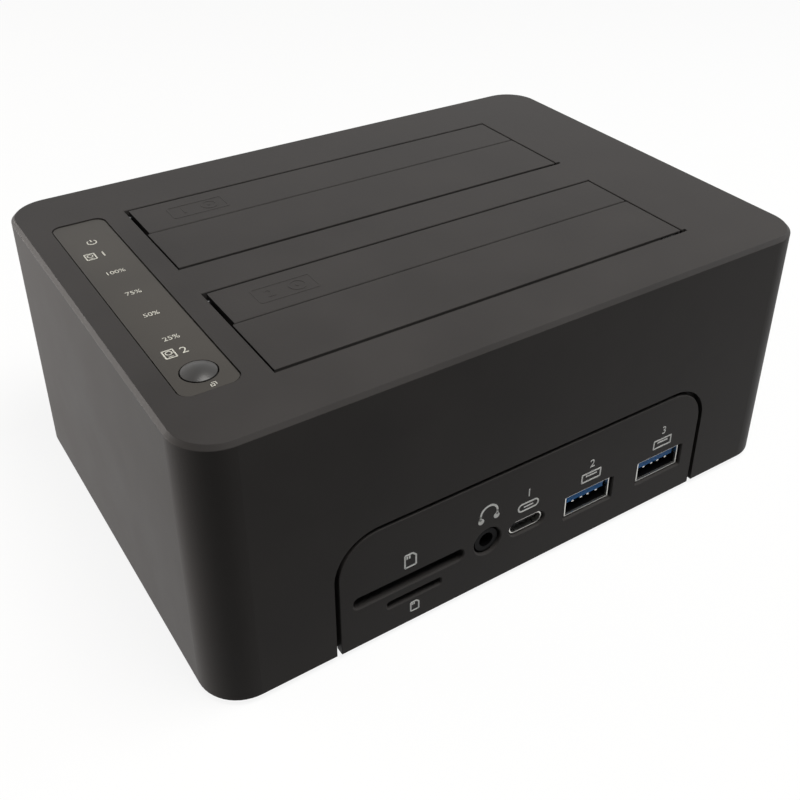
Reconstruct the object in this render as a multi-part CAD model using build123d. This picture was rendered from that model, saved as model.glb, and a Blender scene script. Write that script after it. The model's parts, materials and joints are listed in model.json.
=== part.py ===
from build123d import *
import math
import os

# Twin-bay drive duplicator. Front faces -Y, the feet stand on z = 0.

# Drives the bays take, and the room round them that sets the bay slots
DRIVE_WIDTH = 101.6
DRIVE_THICKNESS = 26.1
DRIVE_SLACK = 0.9
SLOT_SIDE_ROOM = 1.2
SLOT_DEPTH_ROOM = 7.3

# Margins round the slots, which set the plan size
BAY_LAND = 11.6
LEFT_MARGIN = 23.55
RIGHT_MARGIN = 24.95
FRONT_MARGIN = 14.6
REAR_MARGIN = 17.0

# Housing
BODY_HEIGHT = 62.5
FOOT_PROUD = 1.5
CORNER_R = 9.3
TOP_BEVEL = 0.85
TOP_BEVEL_SOFTEN = 0.2
WALL = 2.0
EDGE_BREAK = 0.3
PORT_BEVEL = 0.25
FIT = 0.25
RUN = 0.05

# Door leaves
DOOR_THICKNESS = 2.0
DOOR_SINK = 0.1
DOOR_SIDE_GAP = 0.4
REAR_DOOR_LEFT_GAP = 1.0
REAR_DOOR_SPAN = 14.0
SPLIT_GAP = 0.3
FRONT_HINGE_GAP = 0.7
REAR_HINGE_GAP = 0.55
FRONT_LIP_BACK = 0.3
SLOT_NOTCH = 0.9
HINGE_DROP = 0.3
BARREL_R = 1.15
PIN_R = 0.6
PIN_OVERHANG = 2.6
STOP_REACH = 1.0
STOP_WIDTH = 3.0
STOP_HEIGHT = 1.2
STOP_FROM_EDGE = 2.5
STOP_CLEAR = 0.1
RIB_HEIGHT = 0.8
RIB_THICKNESS = 1.0

# Torsion springs
SPRING_WIRE = 0.36
SPRING_TURNS = 8
SPRING_PITCH = 0.5
SPRING_ARM = 4.5
SPRING_FROM_END = 1.4
SPRING_CLEAR = 0.4

# Drive wells
WELL_GAP = 0.4
WELL_END_GAP = 1.4
WELL_WALL = 1.6
WELL_FLOOR = 1.6
WELL_OVER_BOARD = 4.7
SHELF_CLEAR = 1.5
EAR_LENGTH = 6.0
EAR_WIDTH = 7.0
EAR_THICKNESS = 2.0
EAR_DROP = 4.0
OUTER_EAR_X = 40.0
INNER_EAR_X = 27.0
WELL_BOSS_R = 2.5

# Base
BASE_THICKNESS = 2.2
PAD_HEIGHT = 1.4
PAD_R = 4.5
BOSS_INSET = 7.6
BOSS_R = 3.2
BOSS_RIB = 1.6
STANDOFF_R = 3.0
FOOT_R = 5.5
FOOT_SEAT = 1.0
FOOT_INSET_X = 16.0
FOOT_INSET_Y = 15.0
VENT_WIDTH = 2.0
VENT_LENGTH = 24.0
VENT_COUNT = 7
VENT_PITCH = 5.0

# Front fascia
FASCIA_WIDTH = 98.2
FASCIA_HEIGHT = 29.0
FASCIA_DROP = 0.2
FASCIA_R = 9.3
FASCIA_GROOVE = 1.1
FASCIA_SINK = 0.05
FASCIA_FLANGE = 2.5
FASCIA_FLANGE_T = 1.2
FASCIA_BOSS_INSET = 3.6
FASCIA_BOSS_W = 6.0
FASCIA_BOSS_D = 5.0
FASCIA_BOSS_H = 4.8

# Boards
BOARD_RISE = 10.0
BOARD_THICKNESS = 1.6
BOARD_MARGIN_X = 12.0
BOARD_MARGIN_Y = 0.6
BOARD_SCREW_INSET = 4.5

# Front ports, centre heights above the housing's lower edge
PORT_RECESS = 0.7
PORT_GAP_SHARES = (3.1, 2.8, 2.38, 5.98, 7.7, 4.2)
CARD_Z = 11.85
CARD_SLOT_W = 26.8
CARD_SLOT_H = 2.9
CARD_SOCKET_CHEEK = 0.8
CARD_SOCKET_L = 27.0
CARD_GAP_CHEEK = 1.1
CARD_GAP_H = 2.4
CARD_GAP_L = 25.0
SMALL_CARD_SHIFT = 1.1
SMALL_CARD_Z = 7.15
SMALL_CARD_SLOT_W = 13.3
SMALL_CARD_SLOT_H = 1.8
SMALL_CARD_SOCKET_CHEEK = 0.65
SMALL_CARD_SOCKET_L = 15.0
SMALL_CARD_GAP_CHEEK = 0.95
SMALL_CARD_GAP_H = 1.0
SMALL_CARD_GAP_L = 13.4
JACK_Z = 12.05
JACK_HOLE_R = 3.5
JACK_NOSE_R = 2.95
JACK_BORE_R = 1.8
JACK_W = 7.0
JACK_L = 10.0
JACK_BORE_L = 10.0
OVAL_Z = 11.6
OVAL_W = 8.94
OVAL_H = 3.16
OVAL_GAP = 0.35
OVAL_WALL = 0.28
OVAL_L = 8.5
OVAL_TONGUE_W = 6.7
OVAL_TONGUE_H = 0.7
WIDE_Z = 10.3
WIDE_W = 13.1
WIDE_H = 5.72
WIDE_GAP_X = 0.6
WIDE_GAP_Z = 0.3
WIDE_WALL = 0.3
WIDE_L = 16.5
WIDE_TONGUE_W = 11.1
WIDE_TONGUE_H = 2.3
WIDE_TONGUE_DROP = 0.2
WIDE_WING = 1.5
WIDE_WING_L = 4.0

# Drive sockets
SOCKET_FROM_SIDE = 30.12
SOCKET_FROM_FACE = 3.5
SOCKET_BASE_W = 42.6
SOCKET_BASE_D = 6.4
SOCKET_TOP_W = 40.4
SOCKET_TOP_D = 4.6
SOCKET_RISE = 4.4
SOCKET_SLOT = 1.4
SOCKET_POWER_W = 21.2
SOCKET_DATA_W = 10.9
SOCKET_KEY = 1.3
SOCKET_SLOT_GAP = 2.4
SOCKET_SLOT_DEPTH = 4.6
SOCKET_PITCH = 1.27
SOCKET_CONTACT_W = 0.7
SOCKET_CONTACT_T = 0.22

# Rear ports
DC_FROM_SCREW = 11.75
DC_W = 9.4
DC_H = 10.6
DC_L = 11.0
DC_NOSE_R = 4.0
DC_BORE_R = 3.2
DC_PIN_R = 1.05
HOST_FROM_DC = 24.0
SWITCH_FROM_SCREW = 15.75
SWITCH_W = 15.0
SWITCH_H = 9.6
SWITCH_L = 10.0
SWITCH_BACK = 1.5
ROCKER_W = 11.0
ROCKER_H = 6.0
ROCKER_DEPTH = 4.2
ROCKER_DIP = 0.8
ROCKER_TILT = 7.0
ROCKER_CLEAR = 0.4
PIVOT_R = 0.6

# Loose items on the main board
CHIP_HEIGHT = 1.1
CHIP_OFFSET = 22.0
BRIDGE_CHIP = 9.0
MAIN_CHIP = 10.0
MEMORY_CHIP = 7.0
AUDIO_CHIP = 5.0
AUDIO_CHIP_GAP = 3.0
CAN_R = 3.1
CAN_HEIGHT = 6.0
CAN_PITCH = 8.0
CAN_INSET = 5.5
CAN_SEAT = 0.7
CAN_SEAT_EDGE = 0.2

# Indicator strip and button
STRIP_INSET = 12.25
STRIP_FRONT = 15.9
STRIP_WIDTH = 12.4
STRIP_REAR = 17.1
STRIP_R = 2.6
STRIP_RECESS = 0.5
OVERLAY_THICKNESS = 0.3
OVERLAY_FIT = 0.3
BUTTON_FROM_END = 6.8
BUTTON_R = 3.4
BUTTON_GAP = 0.3
BUTTON_CROWN = 1.0
BUTTON_FLANGE_R = 4.6
BUTTON_FLANGE_T = 1.0
BUTTON_STEM_R = 1.6
BUTTON_TRAVEL = 0.6
SWITCH_BODY = 6.0
SWITCH_BODY_H = 3.5
PLUNGER_R = 1.7
PLUNGER_PROUD = 1.0
STRIP_BOARD_DROP = 8.4
STRIP_BOARD_T = 1.2
STRIP_BOARD_W = 13.0
STRIP_BOSS_R = 2.2
STRIP_BOSS_X = -3.6
STRIP_BOSS_INSET = 6.0
STRIP_BOSS_FROM_BUTTON = 9.0
LED_X = 3.4
LED_SIZE = 2.0
LED_HEIGHT = 0.8
GUIDE_R = 1.1
GUIDE_BAR_W = 3.2
GUIDE_BAR_T = 1.2
GUIDE_LED_GAP = 0.3
GUIDE_END = 4.0
GUIDE_LEG = 1.5
LAMPS_FROM_BUTTON = 7.8
LAMPS_FROM_REAR = 11.3
LAMP_SHARES = (1.0, 0.875, 0.695, 0.495, 0.301, 0.102, 0.0)
RIBBON_W = 8.0
RIBBON_T = 0.4
HEADER_W = 4.4
HEADER_H = 3.2
HEADER_SHIFT = 1.0
HEADER_CHEEK = 1.2
HEADER_SLOT = 1.5
RIBBON_SHIFT = 5.0
RIBBON_LEAD = 5.0
RIBBON_BOW = 2.0
RIBBON_FLAT = 6.0
RIBBON_BEND = 4.0
RIBBON_SEAT = 1.4

# Screws
SCREW_R = 1.45
SCREW_HEAD_R = 2.7
SCREW_HEAD_H = 1.5
SCREW_LENGTH = 10.0
SMALL_SCREW_R = 0.95
SMALL_HEAD_R = 1.9
SMALL_HEAD_H = 1.2
HEAD_CLEAR = 0.3
CROSS_WIDTH = 0.6
CROSS_DEPTH = 0.7
SCREW_GRIP = 4.0

# Places worked out from the sizes above
SLOT_WIDTH = DRIVE_WIDTH + SLOT_SIDE_ROOM * 2
SLOT_DEPTH = DRIVE_THICKNESS + SLOT_DEPTH_ROOM
FRONT_DOOR_SPAN = SLOT_DEPTH - REAR_DOOR_SPAN
WIDTH = LEFT_MARGIN + SLOT_WIDTH + RIGHT_MARGIN
DEPTH = FRONT_MARGIN + SLOT_DEPTH * 2 + BAY_LAND + REAR_MARGIN
FRONT_Y = -DEPTH / 2
REAR_Y = DEPTH / 2
LEFT_X = -WIDTH / 2
BODY_Z0 = FOOT_PROUD
BODY_Z1 = FOOT_PROUD + BODY_HEIGHT
COVER_Z = BODY_Z1 - WALL
SLOT_X = LEFT_X + LEFT_MARGIN + SLOT_WIDTH / 2
SLOT_FRONTS = (FRONT_Y + FRONT_MARGIN, FRONT_Y + FRONT_MARGIN + SLOT_DEPTH + BAY_LAND)
DOOR_Z1 = BODY_Z1 - DOOR_SINK
DOOR_Z0 = DOOR_Z1 - DOOR_THICKNESS
PIN_Z = DOOR_Z1 - HINGE_DROP - BARREL_R
FRONT_PIN_IN = FRONT_HINGE_GAP + BARREL_R
REAR_PIN_IN = REAR_HINGE_GAP + BARREL_R
SPRING_R = PIN_R + RUN * 2 + SPRING_WIRE / 2
BASE_Z1 = BODY_Z0 + BASE_THICKNESS
BOARD_Z1 = BODY_Z0 + BOARD_RISE
BOARD_Z0 = BOARD_Z1 - BOARD_THICKNESS
BOARD_X1 = WIDTH / 2 - WALL - BOARD_MARGIN_X
BOARD_Y0 = FRONT_Y + WALL + FASCIA_FLANGE_T + BOARD_MARGIN_Y
BOARD_Y1 = REAR_Y - WALL - BOARD_MARGIN_Y
BOARD_SCREWS_X = BOARD_X1 - BOARD_SCREW_INSET
FASCIA_BOSS_X = FASCIA_WIDTH / 2 - FASCIA_BOSS_INSET
FASCIA_BOSS_Y1 = FRONT_Y + WALL + FIT + FASCIA_BOSS_D
BOARD_SCREW_YS = (FASCIA_BOSS_Y1 + FIT + STANDOFF_R, BOARD_Y1 - BOARD_SCREW_INSET)
WELL_Z0 = BOARD_Z1 + WELL_OVER_BOARD
WELL_Z1 = PIN_Z - PIN_R - 0.01
FLOOR_Z = WELL_Z0 + WELL_FLOOR
SHELF_Z = PIN_Z - max(FRONT_DOOR_SPAN, REAR_DOOR_SPAN) - SHELF_CLEAR
EAR_Z1 = COVER_Z - EAR_DROP
BOSS_X = WIDTH / 2 - BOSS_INSET
BOSS_Y = DEPTH / 2 - BOSS_INSET
PORT_Y = FRONT_Y + PORT_RECESS
STRIP_X = LEFT_X + STRIP_INSET
STRIP_Y0 = FRONT_Y + STRIP_FRONT
STRIP_LENGTH = DEPTH - STRIP_FRONT - STRIP_REAR
STRIP_Y = STRIP_Y0 + STRIP_LENGTH / 2
BUTTON_Y = STRIP_Y0 + BUTTON_FROM_END
STRIP_BOARD_Z1 = BODY_Z1 - STRIP_BOARD_DROP
STRIP_BOARD_Z0 = STRIP_BOARD_Z1 - STRIP_BOARD_T
STRIP_BOSS_YS = (STRIP_Y0 + STRIP_LENGTH - STRIP_BOSS_INSET, BUTTON_Y + STRIP_BOSS_FROM_BUTTON)
LAMP_Y0 = BUTTON_Y + LAMPS_FROM_BUTTON
LAMP_Y1 = STRIP_Y0 + STRIP_LENGTH - LAMPS_FROM_REAR
LAMP_YS = [LAMP_Y0 + (LAMP_Y1 - LAMP_Y0) * share for share in LAMP_SHARES]
RIBBON_Y = STRIP_Y + RIBBON_SHIFT
DC_X = DC_FROM_SCREW - BOARD_SCREWS_X
HOST_X = DC_X + HOST_FROM_DC
SWITCH_X = BOARD_SCREWS_X - SWITCH_FROM_SCREW
SWITCH_Z = BOARD_Z1 + SWITCH_H / 2
DC_Z = BOARD_Z1 + DC_H / 2
HOST_Z = BODY_Z0 + OVAL_Z


# Front ports stand side by side, and share out the fascia's spare width between them
def port_centres():
    widths = (CARD_SLOT_W, JACK_HOLE_R * 2, OVAL_W + OVAL_GAP * 2, WIDE_W + WIDE_GAP_X * 2,
              WIDE_W + WIDE_GAP_X * 2)
    spare = (FASCIA_WIDTH - sum(widths)) / sum(PORT_GAP_SHARES)
    centres = []
    edge = -FASCIA_WIDTH / 2
    for width, share in zip(widths, PORT_GAP_SHARES):
        centres.append(edge + spare * share + width / 2)
        edge = centres[-1] + width / 2
    return centres


CARD_X, JACK_X, OVAL_X, *WIDE_XS = port_centres()
SMALL_CARD_X = CARD_X + SMALL_CARD_SHIFT
CARD_SOCKET_W = CARD_SLOT_W + CARD_SOCKET_CHEEK * 2
CARD_GAP_W = CARD_SLOT_W - CARD_GAP_CHEEK * 2
SMALL_CARD_SOCKET_W = SMALL_CARD_SLOT_W + SMALL_CARD_SOCKET_CHEEK * 2
SMALL_CARD_GAP_W = SMALL_CARD_SLOT_W - SMALL_CARD_GAP_CHEEK * 2


# Shared shapes
def block(x0, x1, y0, y1, z0, z1):
    place = Pos((x0 + x1) / 2, (y0 + y1) / 2, (z0 + z1) / 2)
    return place * Box(x1 - x0, y1 - y0, z1 - z0)


def rod_x(y, z, radius, x0, x1):
    return Pos((x0 + x1) / 2, y, z) * Rot(0, 90, 0) * Cylinder(radius, x1 - x0)


def rod_y(x, z, radius, y0, y1):
    return Pos(x, (y0 + y1) / 2, z) * Rot(90, 0, 0) * Cylinder(radius, y1 - y0)


def rod_z(x, y, radius, z0, z1):
    return Pos(x, y, (z0 + z1) / 2) * Cylinder(radius, z1 - z0)


def plate(sketch, z0, z1):
    return Pos(0, 0, z0) * extrude(sketch, amount=z1 - z0)


def wall_plane(y):
    return Plane(origin=(0, y, 0), x_dir=(1, 0, 0), z_dir=(0, -1, 0))


def wall_solid(sketch, y0, y1):
    return extrude(wall_plane(y1) * sketch, amount=y1 - y0)


def wall_mouth(sketch, y_face, bevel):
    return extrude(wall_plane(y_face + bevel) * sketch, amount=bevel, taper=-45)


def top_mouth(sketch, z_face, bevel):
    return Pos(0, 0, z_face - bevel) * extrude(sketch, amount=bevel, taper=-45)


def capsule(width, height):
    return RectangleRounded(width, height, height / 2 - 0.01)


def arch(width, height, radius, z0, z1):
    shape = Pos(0, (z0 + z1) / 2) * Rectangle(width, z1 - z0)
    return fillet(shape.vertices().sort_by(Axis.Y)[-2:], radius)


def screw(head_r, head_h, shank_r, length):
    body = rod_z(0, 0, head_r, 0, head_h)
    body = chamfer(body.edges().sort_by(Axis.Z)[0], head_h * 0.3)
    body += rod_z(0, 0, shank_r, head_h, head_h + length)
    for turn in (0, 90):
        body -= Rot(0, 0, turn) * block(-head_r * 0.6, head_r * 0.6, -CROSS_WIDTH / 2, CROSS_WIDTH / 2,
                                        -1, CROSS_DEPTH)
    return body


def solid_of(shape):
    found = shape.solids()
    if len(found) != 1:
        raise ValueError("a piece came out as %d solids" % len(found))
    return found[0]


def group(shapes):
    return Compound(children=[solid_of(s) for s in shapes])


def save(name, shape):
    os.makedirs("parts", exist_ok=True)
    export_step(shape, "parts/" + name + ".step")


# Doors, pins and springs, drawn for a hinge on the front edge of a slot
class Leaf:
    def __init__(self, slot_y0, at_rear):
        self.at_rear = at_rear
        self.slot_y0 = slot_y0
        self.reach = REAR_DOOR_SPAN if at_rear else FRONT_DOOR_SPAN
        self.pin_in = REAR_PIN_IN if at_rear else FRONT_PIN_IN
        self.lip = BARREL_R if at_rear else BARREL_R - FRONT_LIP_BACK
        self.pin_y = slot_y0 + (SLOT_DEPTH - self.pin_in if at_rear else self.pin_in)
        self.length = self.reach - SPLIT_GAP / 2 - self.pin_in
        self.x0 = SLOT_X - SLOT_WIDTH / 2 + (REAR_DOOR_LEFT_GAP if at_rear else DOOR_SIDE_GAP)
        self.x1 = SLOT_X + SLOT_WIDTH / 2 - DOOR_SIDE_GAP
        self.spring_x = self.x1 - SPRING_FROM_END - SPRING_TURNS * SPRING_PITCH

    def placed(self, shape):
        if self.at_rear:
            shape = mirror(shape, about=Plane.XZ)
        return Pos(0, self.pin_y, PIN_Z) * shape

    def door(self):
        top = DOOR_Z1 - PIN_Z
        under = DOOR_Z0 - PIN_Z
        body = block(self.x0, self.x1, -self.lip, self.length, under, top)
        body = fillet(body.edges().filter_by(Axis.X).group_by(Axis.Y)[0].sort_by(Axis.Z)[-1], EDGE_BREAK / 2)
        body = fillet(body.edges().filter_by(Axis.X).group_by(Axis.Y)[-1].sort_by(Axis.Z)[-1], EDGE_BREAK)
        body += rod_x(0, 0, BARREL_R, self.x0, self.x1)
        for side in (-1, 1):
            end = SLOT_X + side * (SLOT_WIDTH / 2 + STOP_REACH)
            start = SLOT_X + side * (SLOT_WIDTH / 2 - 4.0)
            tab_top = COVER_Z - STOP_CLEAR - PIN_Z
            far = self.length - STOP_FROM_EDGE
            low, high = sorted((start, end))
            body += block(low, high, far - STOP_WIDTH, far, tab_top - STOP_HEIGHT, tab_top)
            low, high = sorted((start, self.x1 if side > 0 else self.x0))
            body += block(low, high, far - STOP_WIDTH, far, tab_top - STOP_HEIGHT, under + 0.4)
        for step in (-0.3, 0.0, 0.3):
            rib_x = SLOT_X + step * SLOT_WIDTH
            body += block(rib_x - RIB_THICKNESS / 2, rib_x + RIB_THICKNESS / 2, BARREL_R, self.length - 1.0,
                          under - RIB_HEIGHT, under + 0.2)
        body -= rod_x(0, 0, PIN_R + RUN, self.x0 - 1, self.x1 + 1)
        room = SPRING_R + SPRING_WIRE / 2 + SPRING_CLEAR
        coil = SPRING_TURNS * SPRING_PITCH
        side_room = SPRING_CLEAR + SPRING_WIRE
        body -= block(self.spring_x - side_room, self.spring_x + coil + side_room,
                      -BARREL_R - 1, room, -BARREL_R - 1, room * 0.75)
        arm_x = self.spring_x + coil
        body -= block(arm_x - side_room, arm_x + side_room, 0, SPRING_ARM + 1, under - 1, under + 0.2)
        return solid_of(self.placed(body))

    def pin(self):
        half = SLOT_WIDTH / 2 + PIN_OVERHANG
        return solid_of(self.placed(rod_x(0, 0, PIN_R, SLOT_X - half, SLOT_X + half)))

    def spring(self):
        height = SPRING_TURNS * SPRING_PITCH
        helix = Helix(SPRING_PITCH, height, SPRING_R)
        coil = sweep(Plane(helix @ 0, z_dir=helix % 0) * Circle(SPRING_WIRE / 2), path=helix, is_frenet=True)
        arm = extrude(Plane(helix @ 1, z_dir=helix % 1) * Circle(SPRING_WIRE / 2), amount=SPRING_ARM)
        tail_length = self.pin_in + WELL_GAP + WELL_WALL * 0.7
        tail = extrude(Plane(helix @ 0, z_dir=helix % 0) * Circle(SPRING_WIRE / 2), amount=-tail_length)
        wire = coil + arm + tail
        return solid_of(self.placed(Pos(self.spring_x, 0, 0) * Rot(0, 90, 0) * wire))

    def cover_grooves(self):
        cuts = []
        for side in (-1, 1):
            x0 = SLOT_X + side * (SLOT_WIDTH / 2 - 1)
            x1 = SLOT_X + side * (SLOT_WIDTH / 2 + PIN_OVERHANG + FIT)
            low, high = min(x0, x1), max(x0, x1)
            cuts.append(rod_x(self.pin_y, PIN_Z, PIN_R + RUN, low, high))
            half = PIN_R + RUN
            cuts.append(block(low, high, self.pin_y - half, self.pin_y + half, COVER_Z - 1, PIN_Z))
        return cuts

    def tail_notch(self):
        edge = self.slot_y0 + SLOT_DEPTH if self.at_rear else self.slot_y0
        depth = WELL_GAP + WELL_WALL + 0.5
        z0 = PIN_Z - SPRING_R - SPRING_WIRE / 2 - SPRING_CLEAR
        out = 1 if self.at_rear else -1
        y0, y1 = sorted((edge, edge + out * depth))
        return block(self.spring_x - 1.0, self.spring_x + 1.0, y0, y1, z0, WELL_Z1 + 1)


LEAVES = {}
for bay, slot_front in zip(("front_bay", "rear_bay"), SLOT_FRONTS):
    LEAVES[bay + "_front"] = Leaf(slot_front, False)
    LEAVES[bay + "_rear"] = Leaf(slot_front, True)


# Places of the screws that hold the wells, as offsets from the slot centre
def ear_places(index):
    front = OUTER_EAR_X if index == 0 else INNER_EAR_X
    rear = OUTER_EAR_X
    out = SLOT_DEPTH / 2 + WELL_GAP + WELL_WALL + EAR_LENGTH / 2
    return [(-front, -out), (front, -out), (-rear, out), (rear, out)] if index else [
        (-rear, -out), (rear, -out), (-INNER_EAR_X - EAR_WIDTH * 2, out), (INNER_EAR_X + EAR_WIDTH * 2, out)]


def well_centre(index):
    return SLOT_FRONTS[index] + SLOT_DEPTH / 2


def socket_place(index):
    x = SLOT_X - DRIVE_WIDTH / 2 + SOCKET_FROM_SIDE
    return x, well_centre(index) + DRIVE_THICKNESS / 2 - SOCKET_FROM_FACE


# Housing: top and four walls in one moulding
def make_housing():
    outer = plate(RectangleRounded(WIDTH, DEPTH, CORNER_R), BODY_Z0, BODY_Z1)
    outer = chamfer(outer.faces().sort_by(Axis.Z)[-1].edges(), TOP_BEVEL)
    rim = outer.edges().filter_by_position(Axis.Z, BODY_Z1 - 0.01, BODY_Z1 + 0.01)
    rim += outer.edges().filter_by_position(Axis.Z, BODY_Z1 - TOP_BEVEL - 0.01, BODY_Z1 - TOP_BEVEL + 0.01)
    outer = fillet(rim, TOP_BEVEL_SOFTEN)
    inner = RectangleRounded(WIDTH - WALL * 2, DEPTH - WALL * 2, CORNER_R - WALL)
    body = outer - plate(inner, BODY_Z0 - 1, COVER_Z)
    column_z0 = BASE_Z1 + PAD_HEIGHT + 0.1
    room = plate(inner, BODY_Z0, COVER_Z + WALL / 2)
    columns = None
    for sx in (-1, 1):
        for sy in (-1, 1):
            x, y = sx * BOSS_X, sy * BOSS_Y
            column = rod_z(x, y, BOSS_R, column_z0, COVER_Z + 0.5)
            x0, x1 = sorted((x, sx * WIDTH / 2))
            y0, y1 = sorted((y, sy * DEPTH / 2))
            column += block(x0, x1, y - BOSS_RIB / 2, y + BOSS_RIB / 2, column_z0, COVER_Z + 0.5)
            column += block(x - BOSS_RIB / 2, x + BOSS_RIB / 2, y0, y1, column_z0, COVER_Z + 0.5)
            columns = column if columns is None else columns + column
    shell = body + (columns & outer)
    for sx in (-1, 1):
        for sy in (-1, 1):
            shell -= rod_z(sx * BOSS_X, sy * BOSS_Y, SCREW_R + RUN, column_z0 - 1, column_z0 + SCREW_LENGTH)
    for index in (0, 1):
        for ex, ey in ear_places(index):
            x, y = SLOT_X + ex, well_centre(index) + ey
            shell += rod_z(x, y, WELL_BOSS_R, EAR_Z1, COVER_Z + 0.5)
            shell -= rod_z(x, y, SMALL_SCREW_R + RUN, EAR_Z1 - 1, COVER_Z)
    for y in STRIP_BOSS_YS:
        shell += rod_z(STRIP_X + STRIP_BOSS_X, y, STRIP_BOSS_R, STRIP_BOARD_Z1, COVER_Z + 0.5)
        shell -= rod_z(STRIP_X + STRIP_BOSS_X, y, SMALL_SCREW_R + RUN, STRIP_BOARD_Z1 - 1, COVER_Z)
    for slot_front in SLOT_FRONTS:
        opening = Pos(SLOT_X, slot_front + SLOT_DEPTH / 2) * Rectangle(SLOT_WIDTH, SLOT_DEPTH)
        shell -= plate(opening, COVER_Z - 1, BODY_Z1 + 1)
        shell -= top_mouth(opening, BODY_Z1, EDGE_BREAK / 2)
        slot_end = SLOT_X + SLOT_WIDTH / 2
        shell -= block(slot_end - 1, slot_end + SLOT_NOTCH, slot_front, slot_front + SLOT_NOTCH, COVER_Z - 1,
                       BODY_Z1 + 1)
    for leaf in LEAVES.values():
        for cut in leaf.cover_grooves():
            shell -= cut
    strip = Pos(STRIP_X, STRIP_Y) * RectangleRounded(STRIP_WIDTH, STRIP_LENGTH, STRIP_R)
    shell -= plate(strip, BODY_Z1 - STRIP_RECESS, BODY_Z1 + 1)
    shell -= rod_z(STRIP_X, BUTTON_Y, BUTTON_R + BUTTON_GAP, COVER_Z - 1, BODY_Z1 + 1)
    for y in LAMP_YS:
        shell -= rod_z(STRIP_X + LED_X, y, GUIDE_R + FIT, COVER_Z - 1, BODY_Z1 + 1)
    opening = arch(FASCIA_WIDTH + FASCIA_GROOVE * 2, 0, FASCIA_R + FASCIA_GROOVE, BODY_Z0 - 2,
                   BODY_Z0 + FASCIA_HEIGHT + FASCIA_GROOVE)
    shell -= wall_solid(opening, FRONT_Y - 1, FRONT_Y + WALL + 0.5)
    shell -= rod_y(DC_X, DC_Z, DC_NOSE_R + FIT, REAR_Y - WALL - 1, REAR_Y + 1)
    host = Pos(HOST_X, HOST_Z) * capsule(OVAL_W + OVAL_GAP * 2, OVAL_H + OVAL_GAP * 2)
    shell -= wall_solid(host, REAR_Y - WALL - 1, REAR_Y + 1)
    rocker_hole = RectangleRounded(rocker_room() * 2, ROCKER_H + ROCKER_CLEAR * 2, 0.8)
    switch = Pos(SWITCH_X, SWITCH_Z) * rocker_hole
    shell -= wall_solid(switch, REAR_Y - WALL - 1, REAR_Y + 1)
    return solid_of(shell)


def make_base():
    inset = WALL + FIT
    outline = RectangleRounded(WIDTH - inset * 2, DEPTH - inset * 2, CORNER_R - inset)
    body = plate(outline, BODY_Z0, BASE_Z1)
    for sx in (-1, 1):
        for sy in (-1, 1):
            x, y = sx * BOSS_X, sy * BOSS_Y
            body += rod_z(x, y, PAD_R, BODY_Z0, BASE_Z1 + PAD_HEIGHT)
            body -= rod_z(x, y, SCREW_HEAD_R + HEAD_CLEAR, BODY_Z0 - 1, BODY_Z0 + SCREW_HEAD_H + 0.1)
            body -= rod_z(x, y, SCREW_R + FIT, BODY_Z0, BASE_Z1 + PAD_HEIGHT + 1)
            foot_x = sx * (WIDTH / 2 - FOOT_INSET_X)
            foot_y = sy * (DEPTH / 2 - FOOT_INSET_Y)
            body -= rod_z(foot_x, foot_y, FOOT_R + 0.1, BODY_Z0 - 1, BODY_Z0 + FOOT_SEAT)
    for sx in (-1, 1):
        for y in BOARD_SCREW_YS:
            body += rod_z(sx * BOARD_SCREWS_X, y, STANDOFF_R, BASE_Z1 - 1, BOARD_Z0)
            body -= rod_z(sx * BOARD_SCREWS_X, y, SMALL_SCREW_R + RUN, BASE_Z1, BOARD_Z0 + 1)
        x, y = sx * FASCIA_BOSS_X, fascia_screw_y()
        body -= rod_z(x, y, SMALL_SCREW_R + FIT, BODY_Z0 - 1, BASE_Z1 + 1)
        body -= rod_z(x, y, SMALL_HEAD_R + HEAD_CLEAR, BODY_Z0 - 1, BODY_Z0 + SMALL_HEAD_H + 0.1)
    for row in (-1, 1):
        for number in range(VENT_COUNT):
            x = (number - (VENT_COUNT - 1) / 2) * VENT_PITCH
            slot = RectangleRounded(VENT_WIDTH, VENT_LENGTH, VENT_WIDTH / 2 - 0.01)
            slot = Pos(x, row * VENT_LENGTH * 0.7) * slot
            body -= plate(slot, BODY_Z0 - 1, BASE_Z1 + 1)
    return solid_of(body)


def fascia_screw_y():
    return FRONT_Y + WALL + FIT + FASCIA_BOSS_D / 2


def make_foot(sx, sy):
    body = rod_z(0, 0, FOOT_R, 0, FOOT_PROUD + FOOT_SEAT)
    body = chamfer(body.edges().sort_by(Axis.Z)[0], EDGE_BREAK * 2)
    return solid_of(Pos(sx * (WIDTH / 2 - FOOT_INSET_X), sy * (DEPTH / 2 - FOOT_INSET_Y), 0) * body)


def port_openings():
    shapes = [Pos(CARD_X, BODY_Z0 + CARD_Z) * RectangleRounded(CARD_SLOT_W, CARD_SLOT_H, CARD_SLOT_H * 0.42)]
    small = RectangleRounded(SMALL_CARD_SLOT_W, SMALL_CARD_SLOT_H, SMALL_CARD_SLOT_H * 0.3)
    shapes.append(Pos(SMALL_CARD_X, BODY_Z0 + SMALL_CARD_Z) * small)
    shapes.append(Pos(JACK_X, BODY_Z0 + JACK_Z) * Circle(JACK_HOLE_R))
    reversible = capsule(OVAL_W + OVAL_GAP * 2, OVAL_H + OVAL_GAP * 2)
    shapes.append(Pos(OVAL_X, BODY_Z0 + OVAL_Z) * reversible)
    for x in WIDE_XS:
        shapes.append(Pos(x, BODY_Z0 + WIDE_Z) * RectangleRounded(WIDE_W + WIDE_GAP_X * 2,
                                                                  WIDE_H + WIDE_GAP_Z * 2, 0.4))
    return shapes


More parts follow.
